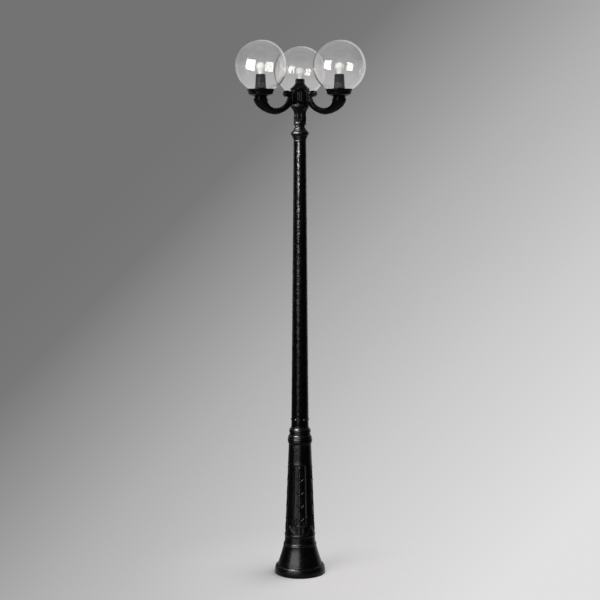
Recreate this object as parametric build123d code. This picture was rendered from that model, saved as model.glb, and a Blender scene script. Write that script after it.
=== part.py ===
from build123d import *
from math import atan, atan2, cos, radians, sin, sqrt, tan
import os

# Three-light garden post: a moulded pedestal, column and head clamped round a steel pipe, with
# scroll arms that each carry a cup, a lamp holder with its bulb and a clear globe on a bayonet.
# Millimetres, +Z up, origin on the post's axis at the ground. The front looks towards -Y.

# Driving dimensions. A bow share is an arc's height as a share of half its chord.

# clearances
slip_gap = 0.4          # pieces that slide over the pipe or into one another
screw_gap = 0.2         # round screws, nipples and threaded pipe ends
turn_gap = 0.4          # between the globe and what it turns in
bulb_gap = 0.4          # round the bulb's cap in its socket

# ground plate, pipe socket and pipe
plate_radius = 112.0
plate_thickness = 10.0
anchor_circle = 170.0
anchor_count = 4
anchor_hole_radius = 7.0
cable_bore_radius = 13.0
pipe_radius = 16.85
pipe_wall = 3.25
socket_wall = 6.0
socket_height = 40.0

# pedestal: moulded foot, cone, ring mouldings and a tapering shaft with sunk panels
pedestal_wall = 6.0
foot_radius = 124.5
rim_height = 16.0
foot_height = 44.0
foot_shoulder_radius = 112.5
foot_bow_share = 0.2
cone_base_radius = 107.0
cone_base_rise = 8.0
cone_height = 60.0
cone_top_radius = 90.0
bead_height = 9.0
bead_bulge = 2.0
cove_height = 24.0
cove_top_radius = 76.0
cove_bow_share = -0.3
plinth_height = 18.0
band_height = 13.0
band_bulge = 2.2
shaft_base_radius = 73.2
shaft_height = 447.0
shaft_top_radius = 55.5
shaft_deck = 8.0
panel_count = 4
panel_half_angle = 26.0
panel_depth = 2.6
panel_base_rise = 62.0
panel_height = 296.0

# collar between the pedestal and the column
collar_foot_height = 10.0
collar_roll_height = 40.0
collar_roll_radius = 60.2
collar_drum_radius = 51.3
collar_drum_height = 25.0
collar_lip_height = 21.0
collar_roll_low_bow_share = 0.12
collar_roll_high_bow_share = 0.21
collar_lip_bow_share = 0.35
collar_spigot_length = 62.0
collar_spigot_wall = 5.0

# column
column_base_radius = 42.3
column_top_radius = 31.0
column_length = 1386.0
column_wall = 4.0
column_screw_count = 6
column_screw_rise = 37.0
column_screw_radius = 3.0
column_screw_head_radius = 5.0
column_screw_head_height = 2.6

# knop on the column's top
knop_radius = 44.9
knop_waist_radius = 24.0
knop_shoulder_radius = 31.6
knop_foot_height = 10.0
knop_belly_height = 29.0
knop_top_height = 24.0
knop_waist_height = 7.0
knop_spigot_length = 40.0
knop_belly_bow_share = 0.12
knop_hollow_bow_share = -0.12

# octagonal neck with a bead below and a ring on top
neck_bead_height = 20.0
neck_bead_radius = 31.2
neck_bead_quirk = 4.0
neck_bead_widest = 12.0
neck_bead_bow_share = 0.3
neck_radius = 29.8
neck_straight_height = 30.0
neck_flare_height = 40.0
neck_flare_radius = 41.5
neck_flare_bow_share = -0.28
neck_ring_height = 16.0
neck_ring_radius = 45.2
neck_sides = 8
flute_width = 13.0
flute_depth = 1.8
flute_margin = 7.0

# hexagonal hub, its nut and terminal block
hub_apothem = 40.0
hub_sides = 6
hub_turn_angle = 30.0
hub_groove_height = 6.0
hub_groove_radius = 41.0
hub_height = 64.0
hub_floor = 8.0
hub_wall = 7.0
hub_panel_width = 27.0
hub_panel_margin = 9.0
hub_panel_depth = 1.6
nut_flats = 46.0
nut_sides = 6
nut_height = 10.0
terminal_width = 20.0
terminal_depth = 6.5
terminal_height = 24.0
terminal_count = 3
terminal_way_radius = 1.6
terminal_way_depth = 12.0

# hub cap
cap_eave_radius = 46.5
cap_eave_height = 4.0
cap_height = 36.0
cap_crown_radius = 21.0
cap_crown_height = 6.0
cap_slope_bow_share = -0.22
cap_vault_bow_share = 0.2
cap_spigot_depth = 8.0
cap_wall = 4.0

# scroll arms: angles are measured in the arm's own plane round the centre of its bow
arm_angles = {"front_left": 210.0, "front_right": 330.0, "rear": 90.0}
arm_reach = 214.2
bow_start_out = 17.4    # where the bar's bow starts, outwards of the hub's face
bow_start_rise = 11.75  # where the bar's bow starts, above the bottom of the hub
horn_lean = 1.8         # the horn's end, inwards of the cup's axis
bow_start_angle = -150.0
bow_bottom_angle = -90.0
bow_end_angle = -27.6
bow_overrun_angle = 15.0
bow_underrun_angle = 4.0
arm_radius = 14.0
horn_flare = 19.0
horn_stations = (0.4, 0.7)
pad_width = 32.0
pad_base_rise = 9.0
pad_height = 51.0
pad_thickness = 11.0
pad_edge = 4.0
scroll_radius = 15.5
scroll_out = 33.5       # the scroll's eye, outwards of the hub's face
scroll_rise = 50.0      # the scroll's eye, above the bottom of the hub
scroll_width = 27.0
scroll_top_angle = 110.0
scroll_root_angle = -168.0   # where the scroll meets the bow's inner edge, round the bow's centre
scroll_back_bow_share = -0.08
scroll_half_turn_count = 3
scroll_lip = 3.0
scroll_pitch = 5.0
scroll_groove = 2.2
scroll_groove_depth = 2.0
scroll_eye_radius = 4.6
scroll_eye_rise = 1.5
seat_trim = 2.0         # the cup's seat, below the end of the bow
bolt_radius = 3.0
bolt_head_radius = 5.0
bolt_head_height = 4.0
bolt_bite = 7.0
bolt_rise = 22.0        # the arm's bolts, above the hub's floor
bolt_pitch = 20.0
lead_radius = 3.0
lead_gap = 0.4
lead_rise = 30.0        # where the lead leaves the hub, above the bottom of the hub
lead_inner_bend = 24.0
lead_outer_bend = 20.0
lead_turn_angle = -45.0
lead_tail = 6.0

# cups
cup_spigot_radius = 14.6
cup_spigot_length = 8.0
cup_spigot_bore = 11.0
cup_bead_radius = 34.4
cup_bead_height = 12.0
cup_bead_widest = 4.0
cup_bead_bow_share = 0.3
cup_waist_radius = 30.6
cup_waist_height = 7.0
cup_bowl_height = 20.0
cup_bowl_radius = 58.0
cup_bowl_bow_share = 0.32
cup_rim_height = 14.5
cup_rim_radius = 63.4
cup_rim_bow_share = 0.1
cup_floor_rise = 37.0
cup_well_radius = 53.0
cup_rim_wall = 1.8
bayonet_count = 3
tab_height = 2.8
tab_reach = 3.0
tab_half_angle = 12.0
stop_angle = 4.0
gasket_thickness = 2.4
gasket_width = 7.0

# globes
globe_radius = 125.0
globe_wall = 3.0
globe_neck_radius = 49.0
lug_height = 3.4
lug_reach = 2.8
lug_half_angle = 12.0

# lamp holders
tower_base_radius = 27.4
tower_top_radius = 22.6
tower_height = 87.6
tower_wall = 3.4
tower_floor = 4.0
tower_lip_radius = 15.0
tower_top_bow_share = 0.4
tower_bore_rise = 16.5
tower_ridge = 1.0
tower_ridge_heights = (34.0, 49.0)
tower_ridge_height = 3.0
nipple_radius = 5.0
nipple_flange_radius = 10.0
nipple_flange_height = 5.0
nipple_thread_in_holder = 8.0
holder_radius = 17.6
holder_length = 66.0

# bulbs
bulb_radius = 22.5
bulb_rise = 34.0        # the bulb's centre, above the top of the lamp holder
bulb_neck_radius = 12.0
bulb_neck_rise = 5.7
bulb_glass = 0.9
bulb_waist_angle = -48.0
bulb_side_angle = 20.0
cap_radius = 13.2
cap_length = 24.0
cap_tip_length = 3.0
cap_tip_radius = 5.0
cap_tip_bow_share = 0.2
cap_socket = 5.0

# Places worked out from the sizes above

pedestal_top = (foot_height + cone_base_rise + cone_height + 2 * bead_height + cove_height
                + plinth_height + band_height + shaft_height)
shaft_base = pedestal_top - shaft_height
collar_top = (pedestal_top + collar_foot_height + collar_roll_height + collar_drum_height
              + collar_lip_height)
column_top = collar_top + column_length
knop_top = (column_top + knop_foot_height + knop_belly_height + knop_top_height
            + knop_waist_height)
neck_top = (knop_top + neck_bead_height + neck_straight_height + neck_flare_height
            + neck_ring_height)
hub_base = neck_top
hub_body_base = hub_base + hub_groove_height
hub_top = hub_body_base + hub_height
hub_deck = hub_base + hub_floor + hub_groove_height
hub_cavity_radius = hub_apothem - hub_wall
pipe_hole_radius = pipe_radius + slip_gap
pipe_top = hub_deck + nut_height + screw_gap
bow_radius = ((arm_reach - hub_apothem - bow_start_out - horn_lean)
              / (cos(radians(bow_end_angle)) - cos(radians(bow_start_angle))))
bow_centre = (hub_apothem + bow_start_out - bow_radius * cos(radians(bow_start_angle)),
              hub_base + bow_start_rise - bow_radius * sin(radians(bow_start_angle)))
seat_height = bow_centre[1] + bow_radius * sin(radians(bow_end_angle)) - seat_trim
cup_floor = seat_height + cup_floor_rise
cup_rim = seat_height + cup_bead_height + cup_waist_height + cup_bowl_height + cup_rim_height
cup_mouth_radius = cup_rim_radius - cup_rim_wall
globe_centre = cup_rim + sqrt((globe_radius + turn_gap) ** 2 - cup_mouth_radius ** 2)
gasket_top = cup_floor + gasket_thickness
neck_end = gasket_top + turn_gap
tab_base = neck_end + lug_height + turn_gap
tower_top = cup_floor + tower_height
holder_top = tower_top - tower_wall
holder_base = holder_top - holder_length
cap_top = holder_top - bulb_gap
socket_floor = cap_top - cap_length - cap_tip_length - bulb_gap
bulb_centre = tower_top + bulb_rise


# Helpers


def outline(start, *steps):
    """A closed face in the radius and height plane. A step is a point to run straight to, or a
    point and a bulge: an arc that stands out by that share of half its chord, to the right of
    its travel where the share is positive."""
    edges = []
    here = start
    for step in steps:
        if len(step) == 3:
            end = (step[0], step[1])
            across = (end[0] - here[0], end[1] - here[1])
            middle = ((here[0] + end[0]) / 2 + across[1] / 2 * step[2],
                      (here[1] + end[1]) / 2 - across[0] / 2 * step[2])
            edges.append(ThreePointArc(here, middle, end))
        else:
            end = step
            edges.append(Line(here, end))
        here = end
    edges.append(Line(here, start))
    return Plane.XZ * make_face(edges)


def dome(radius, height):
    """Bulge of an arc that runs in to the axis as a level dome."""
    return tan(atan(height / radius) / 2)


def turned(start, *steps):
    """A solid turned about the post's axis from an outline."""
    return revolve(outline(start, *steps), Axis.Z)


def ring(inner, outer, low, high):
    """A plain ring round the post's axis."""
    return turned((inner, low), (outer, low), (outer, high), (inner, high))


def rod(radius, low, high):
    """A plain round bar on the post's axis."""
    return Pos(0, 0, low) * Cylinder(radius, high - low, align=(Align.CENTER, Align.CENTER, Align.MIN))


def sector(inner, outer, low, high, first, last):
    """A piece of a ring between two angles."""
    face = outline((inner, low), (outer, low), (outer, high), (inner, high))
    return Rot(0, 0, first) * revolve(face, Axis.Z, revolution_arc=last - first)


def many_sided(face, sides, width):
    """A many-sided body whose faces all follow one outline, drawn from the axis outwards."""
    half = extrude(face, amount=width, both=True)
    slab = half + mirror(half, Plane.YZ)
    body = slab
    for turn in range(1, sides // 2):
        body = body & (Rot(0, 0, turn * 360 / sides) * slab)
    return body


def round_the_post(shape, count, first=0.0):
    """Copies of a shape at even angles round the post's axis."""
    return [Rot(0, 0, first + index * 360 / count) * shape for index in range(count)]


def cut(body, tools):
    """A body with each of the tools taken out of it."""
    for tool in tools:
        body = body - tool
    return body


def at_cup(shape):
    """A shape made on the post's axis, moved out to the cup's axis in the arm's plane."""
    return Pos(arm_reach, 0, 0) * shape


# Ground plate, pipe socket and pipe


def make_anchor_plate():
    plate = rod(plate_radius, 0, plate_thickness) - rod(cable_bore_radius, 0, plate_thickness)
    hole = Pos(anchor_circle / 2, 0, 0) * rod(anchor_hole_radius, 0, plate_thickness)
    return cut(plate, round_the_post(hole, anchor_count, 180 / anchor_count))


def make_pipe_socket():
    bore = pipe_radius + screw_gap
    return ring(bore, bore + socket_wall, plate_thickness, plate_thickness + socket_height)


def make_pipe():
    return ring(pipe_radius - pipe_wall, pipe_radius, plate_thickness, pipe_top)


# Pedestal


def shaft_radius(height):
    """Radius of the pedestal's shaft at a height."""
    share = (height - shaft_base) / shaft_height
    return shaft_base_radius + share * (shaft_top_radius - shaft_base_radius)


def make_pedestal():
    cone_base = foot_height + cone_base_rise
    cone_top = cone_base + cone_height
    cove_base = cone_top + 2 * bead_height
    cove_top = cove_base + cove_height
    band_base = cove_top + plinth_height
    bead_radius = cone_top_radius - bead_bulge
    bead_share = 2 * bead_bulge / bead_height
    band_share = 2 * band_bulge / band_height
    body = turned(
        (0, 0), (foot_radius, 0), (foot_radius, rim_height),
        (foot_shoulder_radius, foot_height, foot_bow_share), (cone_base_radius, cone_base),
        (cone_top_radius, cone_top), (bead_radius, cone_top + bead_height, bead_share),
        (bead_radius - bead_bulge, cove_base, bead_share),
        (cove_top_radius, cove_top, cove_bow_share),
        (shaft_base_radius + bead_bulge / 2, band_base),
        (shaft_base_radius, shaft_base, band_share), (shaft_top_radius, pedestal_top),
        (0, pedestal_top))
    ledge = plate_radius - 2 * pedestal_wall
    recess = plate_radius + slip_gap
    deck = pedestal_top - shaft_deck
    hollow = turned(
        (0, 0), (recess, 0), (recess, plate_thickness), (ledge, plate_thickness),
        (ledge, plate_thickness + pedestal_wall), (cone_base_radius - pedestal_wall, cone_base),
        (cone_top_radius - 2 * pedestal_wall, cone_top),
        (cove_top_radius - pedestal_wall - bead_bulge, cove_top),
        (shaft_base_radius - pedestal_wall, shaft_base),
        (shaft_radius(deck) - pedestal_wall, deck), (0, deck))
    panel_base = shaft_base + panel_base_rise
    panel_top = panel_base + panel_height
    panel = outline(
        (shaft_radius(panel_base) - panel_depth, panel_base),
        (shaft_radius(panel_base) + panel_depth, panel_base),
        (shaft_radius(panel_top) + panel_depth, panel_top),
        (shaft_radius(panel_top) - panel_depth, panel_top))
    panel_cut = Rot(0, 0, -90 - panel_half_angle) * revolve(panel, Axis.Z,
                                                            revolution_arc=2 * panel_half_angle)
    body = body - hollow - rod(pipe_hole_radius, deck, pedestal_top)
    return cut(body, round_the_post(panel_cut, panel_count))


# Collar and column


def column_radius(height):
    """Outer radius of the column at a height."""
    share = (height - collar_top) / column_length
    return column_base_radius + share * (column_top_radius - column_base_radius)


def spigot_radius(height):
    """Radius of a spigot that slides into the column's bore at a height."""
    return column_radius(height) - column_wall - slip_gap


def make_collar():
    roll_base = pedestal_top + collar_foot_height
    drum_base = roll_base + collar_roll_height
    drum_top = drum_base + collar_drum_height
    spigot_top = collar_top + collar_spigot_length
    roll_middle = roll_base + collar_roll_height / 2
    bore = spigot_radius(spigot_top) - collar_spigot_wall
    body = turned(
        (pipe_hole_radius, pedestal_top), (shaft_top_radius, pedestal_top),
        (shaft_top_radius, roll_base), (collar_roll_radius, roll_middle, collar_roll_low_bow_share),
        (collar_drum_radius, drum_base, collar_roll_high_bow_share), (collar_drum_radius, drum_top),
        (column_base_radius, collar_top, collar_lip_bow_share), (spigot_radius(collar_top), collar_top),
        (spigot_radius(spigot_top), spigot_top), (bore, spigot_top),
        (bore, pedestal_top + shaft_deck), (pipe_hole_radius, pedestal_top + shaft_deck))
    return cut(body, column_screw_holes())


def column_screw_height():
    return collar_top + column_screw_rise


def column_screw_holes():
    hole = Cylinder(column_screw_radius + screw_gap, 2 * column_base_radius, rotation=(0, 90, 0),
                    align=(Align.CENTER, Align.CENTER, Align.MIN))
    return round_the_post(Pos(0, 0, column_screw_height()) * hole, column_screw_count)


def make_column():
    body = turned(
        (column_base_radius - column_wall, collar_top), (column_base_radius, collar_top),
        (column_top_radius, column_top), (column_top_radius - column_wall, column_top))
    return cut(body, column_screw_holes())


def make_column_screws():
    seat = column_radius(column_screw_height() - column_screw_head_radius)
    inside = spigot_radius(column_screw_height()) - collar_spigot_wall
    crown = dome(column_screw_head_radius, column_screw_head_height)
    half = outline((0, inside), (column_screw_radius, inside), (column_screw_radius, seat),
                   (column_screw_head_radius, seat), (0, seat + column_screw_head_height, crown))
    screw = Pos(0, 0, column_screw_height()) * Rot(0, 90, 0) * revolve(half, Axis.Z)
    return Compound(round_the_post(screw, column_screw_count))


# Knop and neck


def make_knop():
    belly = column_top + knop_foot_height
    widest = belly + knop_belly_height
    shoulder = widest + knop_top_height
    spigot_base = column_top - knop_spigot_length
    return turned(
        (pipe_hole_radius, spigot_base), (spigot_radius(column_top), spigot_base),
        (spigot_radius(column_top), column_top), (column_top_radius, column_top),
        (knop_shoulder_radius, belly), (knop_radius, widest, knop_belly_bow_share),
        (knop_shoulder_radius, shoulder, knop_hollow_bow_share), (knop_waist_radius, shoulder),
        (knop_waist_radius, knop_top), (pipe_hole_radius, knop_top))


def neck_outline(inset):
    """The straight stem and flare of the neck, sunk below its faces by an inset."""
    stem_base = knop_top + neck_bead_height
    stem_top = stem_base + neck_straight_height
    flare_top = stem_top + neck_flare_height
    return ((neck_radius - inset, stem_base), (neck_radius - inset, stem_top),
            (neck_flare_radius - inset, flare_top, neck_flare_bow_share))


def make_neck():
    low, stem, flare = neck_outline(0)
    stem_body = many_sided(outline((0, low[1]), low, stem, flare, (0, flare[1])),
                           neck_sides, 2 * neck_flare_radius)
    bead = turned(
        (0, knop_top), (knop_waist_radius, knop_top),
        (knop_waist_radius, knop_top + neck_bead_quirk),
        (neck_bead_radius, knop_top + neck_bead_widest, neck_bead_bow_share),
        (neck_radius, low[1], neck_bead_bow_share), (0, low[1]))
    ring_base = flare[1]
    ring_body = turned(
        (0, ring_base), (neck_flare_radius, ring_base),
        (neck_flare_radius, neck_top, neck_ring_bulge()), (0, neck_top))
    body = stem_body + bead + ring_body
    sunk_low, sunk_stem, sunk_flare = neck_outline(flute_depth)
    face = outline(
        (sunk_low[0], sunk_low[1] + flute_margin), sunk_stem, sunk_flare,
        (2 * neck_flare_radius, sunk_flare[1]), (2 * neck_flare_radius, sunk_low[1] + flute_margin))
    flute = extrude(face, amount=flute_width / 2, both=True)
    margin = rod(2 * neck_flare_radius, flare[1] - flute_margin, flare[1])
    flutes = round_the_post(flute - margin, neck_sides)
    return cut(body, flutes) - rod(pipe_hole_radius, knop_top, neck_top)


def neck_ring_bulge():
    """Share of half its height by which the neck's top ring stands out."""
    return 2 * (neck_ring_radius - neck_flare_radius) / neck_ring_height


# Hub


def hub_prism(apothem, low, high):
    """A hexagon with a flat towards the front and one towards each arm."""
    face = outline((0, low), (apothem, low), (apothem, high), (0, high))
    return Rot(0, 0, hub_turn_angle) * many_sided(face, hub_sides, 2 * apothem)


def bolt_places():
    """Where one arm's two bolts lie, side by side across its pad."""
    height = hub_deck + bolt_rise
    return [Pos(0, -bolt_pitch / 2, height), Pos(0, bolt_pitch / 2, height)]


def bolt_holes():
    """Bolt holes through one arm's face of the hub, and on into the arm's pad."""
    length = hub_apothem + bolt_bite + screw_gap
    hole = Cylinder(bolt_radius + screw_gap, length, rotation=(0, 90, 0),
                    align=(Align.CENTER, Align.CENTER, Align.MIN))
    return [place * hole for place in bolt_places()]


def make_hub():
    body = rod(hub_groove_radius, hub_base, hub_body_base) + hub_prism(hub_apothem, hub_body_base, hub_top)
    body = body - rod(hub_cavity_radius, hub_deck, hub_top)
    body = body - rod(pipe_hole_radius, hub_base, hub_deck)
    panel_low = hub_body_base + hub_panel_margin
    panel_high = hub_top - hub_panel_margin
    panel = Box(2 * hub_panel_depth, hub_panel_width, panel_high - panel_low,
                align=(Align.CENTER, Align.CENTER, Align.MIN))
    panel = Pos(hub_apothem, 0, panel_low) * panel
    for angle in arm_angles.values():
        holes = bolt_holes() + [lead_path_solid(lead_radius + lead_gap)]
        body = cut(body, [Rot(0, 0, angle) * hole for hole in holes])
        body = body - Rot(0, 0, angle + 180) * panel
    return body


def make_hub_nut():
    flat = nut_flats / 2
    top = hub_deck + nut_height
    face = outline((0, hub_deck), (flat, hub_deck), (flat, top), (0, top))
    body = Rot(0, 0, hub_turn_angle) * many_sided(face, nut_sides, nut_flats)
    return body - rod(pipe_radius + screw_gap, hub_deck, top)


def make_terminal_block():
    """Three-way block on the hub's floor, between the nut and the front wall."""
    outer = sqrt(hub_cavity_radius ** 2 - (terminal_width / 2) ** 2) - slip_gap
    block = Box(terminal_width, terminal_depth, terminal_height,
                align=(Align.CENTER, Align.MIN, Align.MIN))
    block = Pos(0, -outer, hub_deck) * block
    pitch = terminal_width / terminal_count
    way = Cylinder(terminal_way_radius, terminal_way_depth, align=(Align.CENTER, Align.CENTER, Align.MAX))
    ways = [Pos(pitch * (index - (terminal_count - 1) / 2), -outer + terminal_depth / 2,
                hub_deck + terminal_height) * way for index in range(terminal_count)]
    return cut(block, ways)


def make_hub_cap():
    eave = hub_top + cap_eave_height
    crown = hub_top + cap_height
    inside = hub_cavity_radius - slip_gap
    return turned(
        (inside - cap_wall, hub_top - cap_spigot_depth), (inside, hub_top - cap_spigot_depth),
        (inside, hub_top), (cap_eave_radius, hub_top), (cap_eave_radius, eave),
        (cap_crown_radius, crown - cap_crown_height, cap_slope_bow_share),
        (0, crown, dome(cap_crown_radius, cap_crown_height)),
        (0, crown - cap_crown_height - cap_wall),
        (cap_crown_radius - cap_wall, crown - cap_crown_height - cap_wall),
        (inside - cap_wall, hub_top, cap_vault_bow_share))


# Scroll arms, made in the plane of +X and Z and then turned round the post


def bow_point(angle, radius):
    turn = radians(angle)
    return (bow_centre[0] + radius * cos(turn), bow_centre[1] + radius * sin(turn))


def horn_radius(angle):
    """The arm is even up to the bottom of its bow and swells from there into a horn."""
    share = max(0.0, (angle - bow_bottom_angle) / (bow_end_angle - bow_bottom_angle))
    return arm_radius + horn_flare * share ** 2


def bow_section(angle):
    x, z = bow_point(angle, bow_radius)
    along = (-sin(radians(angle)), 0, cos(radians(angle)))
    return Plane((x, 0, z), x_dir=(0, 1, 0), z_dir=along) * Circle(horn_radius(angle))


def lead_corners():
    """Corners of the lead's way: out of the hub, round the bow and up the cup's axis."""
    start_x, start_z = bow_point(bow_start_angle, bow_radius)
    out_z = hub_base + lead_rise
    out_x = start_x - (out_z - start_z) * tan(radians(bow_start_angle))
    middle = (bow_start_angle + lead_turn_angle) / 2
    half = (lead_turn_angle - bow_start_angle) / 2
    low_x, low_z = bow_point(middle, bow_radius / cos(radians(half)))
    end_x, end_z = bow_point(lead_turn_angle, bow_radius)
    up_z = end_z + (arm_reach - end_x) / tan(radians(-lead_turn_angle))
    return (out_x, out_z), (low_x, low_z), (arm_reach, up_z)


def lead_path_solid(radius):
    """A round bar along the lead's way."""
    first, lowest, last = lead_corners()
    start = (hub_cavity_radius - lead_tail, 0, first[1])
    end = (arm_reach, 0, holder_base + nipple_thread_in_holder)
    corners = [(point[0], 0, point[1]) for point in (first, lowest, last)]
    path = FilletPolyline(start, *corners, end, radius=[lead_inner_bend, bow_radius, lead_outer_bend])
    return sweep(Plane(start, x_dir=(0, 1, 0), z_dir=(1, 0, 0)) * Circle(radius), path)


def make_bow():
    """The round bar of the arm, cut off level under the cup."""
    swell = bow_end_angle - bow_bottom_angle
    halfway = (bow_start_angle + bow_bottom_angle) / 2
    angles = [bow_start_angle - bow_underrun_angle, bow_start_angle, halfway, bow_bottom_angle]
    angles += [bow_bottom_angle + swell * share for share in horn_stations]
    angles += [bow_end_angle, bow_end_angle + bow_overrun_angle]
    bar = loft([bow_section(angle) for angle in angles])
    reach = 2 * arm_reach
    above = Box(reach, reach, reach, align=(Align.MIN, Align.CENTER, Align.MIN))
    return bar - Pos(bow_centre[0], 0, seat_height) * above


def make_pad():
    """The plate that the arm's bolts draw against the hub's face."""
    plate = Box(pad_thickness, pad_width, pad_height, align=(Align.MIN, Align.CENTER, Align.MIN))
    outer_edges = plate.edges().filter_by(Axis.Z).sort_by(Axis.X)[-2:]
    return Pos(hub_apothem, 0, hub_base + pad_base_rise) * fillet(outer_edges, pad_edge)


def make_scroll():
    """The scroll with its root: over the pad, round the eye and tangent into the bow's inner edge."""
    eye = (hub_apothem + scroll_out, hub_base + scroll_rise)
    pad_low = hub_base + pad_base_rise
    top = (eye[0] + scroll_radius * cos(radians(scroll_top_angle)),
           eye[1] + scroll_radius * sin(radians(scroll_top_angle)))
    root = bow_point(scroll_root_angle, bow_radius - arm_radius)
    root_share = -tan(radians(bow_start_angle - scroll_root_angle) / 4)
    coil_share = tan((radians(scroll_top_angle) - atan2(root[1] - eye[1], root[0] - eye[0])) / 4)
    face = outline(
        (hub_apothem, pad_low), bow_point(bow_start_angle, bow_radius + arm_radius),
        bow_point(bow_start_angle, bow_radius - arm_radius), (*root, root_share), (*top, coil_share),
        (hub_apothem, pad_low + pad_height, scroll_back_bow_share))
    body = extrude(face, amount=scroll_width / 2, both=True)
    cheek = Plane((eye[0], -scroll_width / 2, eye[1]), x_dir=(1, 0, 0), z_dir=(0, -1, 0))
    groove = cheek * scroll_groove_bar()
    button = Cylinder(scroll_eye_radius, scroll_width + 2 * scroll_eye_rise, rotation=(90, 0, 0))
    return cut(body, [groove, mirror(groove, Plane.XZ)]) + Pos(eye[0], 0, eye[1]) * button


def scroll_groove_bar():
    """A bar along a spiral of half circles that closes in on the scroll's eye."""
    radius = scroll_radius - scroll_lip
    start = (-radius, 0)
    centre = 0.0
    arcs = []
    for turn in range(scroll_half_turn_count):
        heading = -1 if turn % 2 else 1
        arcs.append(CenterArc((centre, 0), radius, 90 + 90 * heading, -180))
        centre += heading * scroll_pitch / 2
        radius -= scroll_pitch / 2
    across = Plane((*start, 0), x_dir=(1, 0, 0), z_dir=(0, 1, 0))
    return sweep(across * Rectangle(scroll_groove, 2 * scroll_groove_depth), Wire(arcs))


def make_arm():
    seat_base = seat_height - cup_spigot_length - slip_gap
    seat = at_cup(rod(cup_spigot_radius + slip_gap, seat_base, seat_height))
    body = make_bow() + make_pad() + make_scroll()
    return cut(body - seat - lead_path_solid(lead_radius + lead_gap), bolt_holes())


def make_arm_bolts():
    seat = bolt_seat()
    head = seat - bolt_head_height
    tip = hub_apothem + bolt_bite
    bolt = turned((0, head), (bolt_head_radius, head), (bolt_head_radius, seat), (bolt_radius, seat),
                  (bolt_radius, tip), (0, tip))
    bolts = []
    for angle in arm_angles.values():
        for place in bolt_places():
            bolts.append(Rot(0, 0, angle) * place * Rot(0, 90, 0) * bolt)
    return Compound(bolts)


def bolt_seat():
    """Underside of a bolt's head, clear of the round wall of the hub's cavity."""
    return sqrt(hub_cavity_radius ** 2 - (bolt_pitch / 2 + bolt_head_radius) ** 2) - screw_gap


def make_arm_leads():
    return Compound([Rot(0, 0, angle) * lead_path_solid(lead_radius) for angle in arm_angles.values()])


# Cups, gaskets and globes, made on the post's axis and then moved out


def make_cup():
    bead_top = seat_height + cup_bead_height
    waist_top = bead_top + cup_waist_height
    bowl_top = waist_top + cup_bowl_height
    spigot_base = seat_height - cup_spigot_length
    body = turned(
        (cup_spigot_bore, spigot_base), (cup_spigot_radius, spigot_base), (cup_spigot_radius, seat_height),
        (cup_waist_radius, seat_height),
        (cup_bead_radius, seat_height + cup_bead_widest, cup_bead_bow_share),
        (cup_waist_radius, bead_top, cup_bead_bow_share), (cup_waist_radius, waist_top),
        (cup_bowl_radius, bowl_top, cup_bowl_bow_share), (cup_rim_radius, cup_rim, cup_rim_bow_share),
        (cup_mouth_radius, cup_rim),
        (cup_well_radius, cup_rim - cup_rim_height / 2), (cup_well_radius, cup_floor),
        (nipple_radius + screw_gap, cup_floor), (nipple_radius + screw_gap, bead_top),
        (cup_spigot_bore, seat_height))
    tab_inner = cup_well_radius - tab_reach
    tab_outer = cup_well_radius + cup_rim_wall / 2
    tab_top = tab_base + tab_height
    tab = sector(tab_inner, tab_outer, tab_base, tab_top, -tab_half_angle, tab_half_angle)
    stop_edge = -lug_half_angle - stop_angle / 2
    stop = sector(tab_inner, tab_outer, gasket_top + turn_gap, tab_top, stop_edge - stop_angle, stop_edge)
    for piece in round_the_post(tab, bayonet_count) + round_the_post(stop, bayonet_count):
        body = body + piece
    return body


def make_gasket():
    outer = globe_neck_radius + lug_reach
    return ring(outer - gasket_width, outer, cup_floor, gasket_top)


def make_globe():
    neck_bore = globe_neck_radius - globe_wall
    inner = globe_radius - globe_wall
    outer_join = globe_centre - sqrt(globe_radius ** 2 - globe_neck_radius ** 2)
    inner_join = globe_centre - sqrt(inner ** 2 - neck_bore ** 2)
    outside = ThreePointArc((globe_neck_radius, outer_join), (globe_radius, globe_centre),
                            (0, globe_centre + globe_radius))
    inside = ThreePointArc((0, globe_centre + inner), (inner, globe_centre), (neck_bore, inner_join))
    face = make_face([
        Line((neck_bore, neck_end), (globe_neck_radius, neck_end)),
        Line((globe_neck_radius, neck_end), (globe_neck_radius, outer_join)), outside,
        Line((0, globe_centre + globe_radius), (0, globe_centre + inner)), inside,
        Line((neck_bore, inner_join), (neck_bore, neck_end))])
    body = revolve(Plane.XZ * face, Axis.Z)
    lug = sector(globe_neck_radius - globe_wall / 2, globe_neck_radius + lug_reach,
                 neck_end, neck_end + lug_height, -lug_half_angle, lug_half_angle)
    for piece in round_the_post(lug, bayonet_count):
        body = body + piece
    return body


# Lamp holders and bulbs, made on the post's axis and then moved out


def tower_radius(height):
    share = height / tower_height
    return tower_base_radius + share * (tower_top_radius - tower_base_radius)


def make_tower():
    lip = tower_top - tower_wall
    inside_base = cup_floor + tower_floor
    steps = [(tower_base_radius, cup_floor)]
    for rise in tower_ridge_heights:
        steps += [(tower_radius(rise), cup_floor + rise),
                  (tower_radius(rise) - tower_ridge, cup_floor + rise),
                  (tower_radius(rise) - tower_ridge, cup_floor + rise + tower_ridge_height),
                  (tower_radius(rise + tower_ridge_height), cup_floor + rise + tower_ridge_height)]
    return turned(
        (nipple_radius + screw_gap, cup_floor), *steps,
        (tower_top_radius, lip), (tower_top_radius - tower_wall, tower_top, tower_top_bow_share),
        (tower_lip_radius, tower_top), (tower_lip_radius, lip), (holder_radius + slip_gap, lip),
        (tower_base_radius - tower_wall, inside_base + tower_bore_rise),
        (tower_base_radius - tower_wall, inside_base), (nipple_radius + screw_gap, inside_base))


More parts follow.
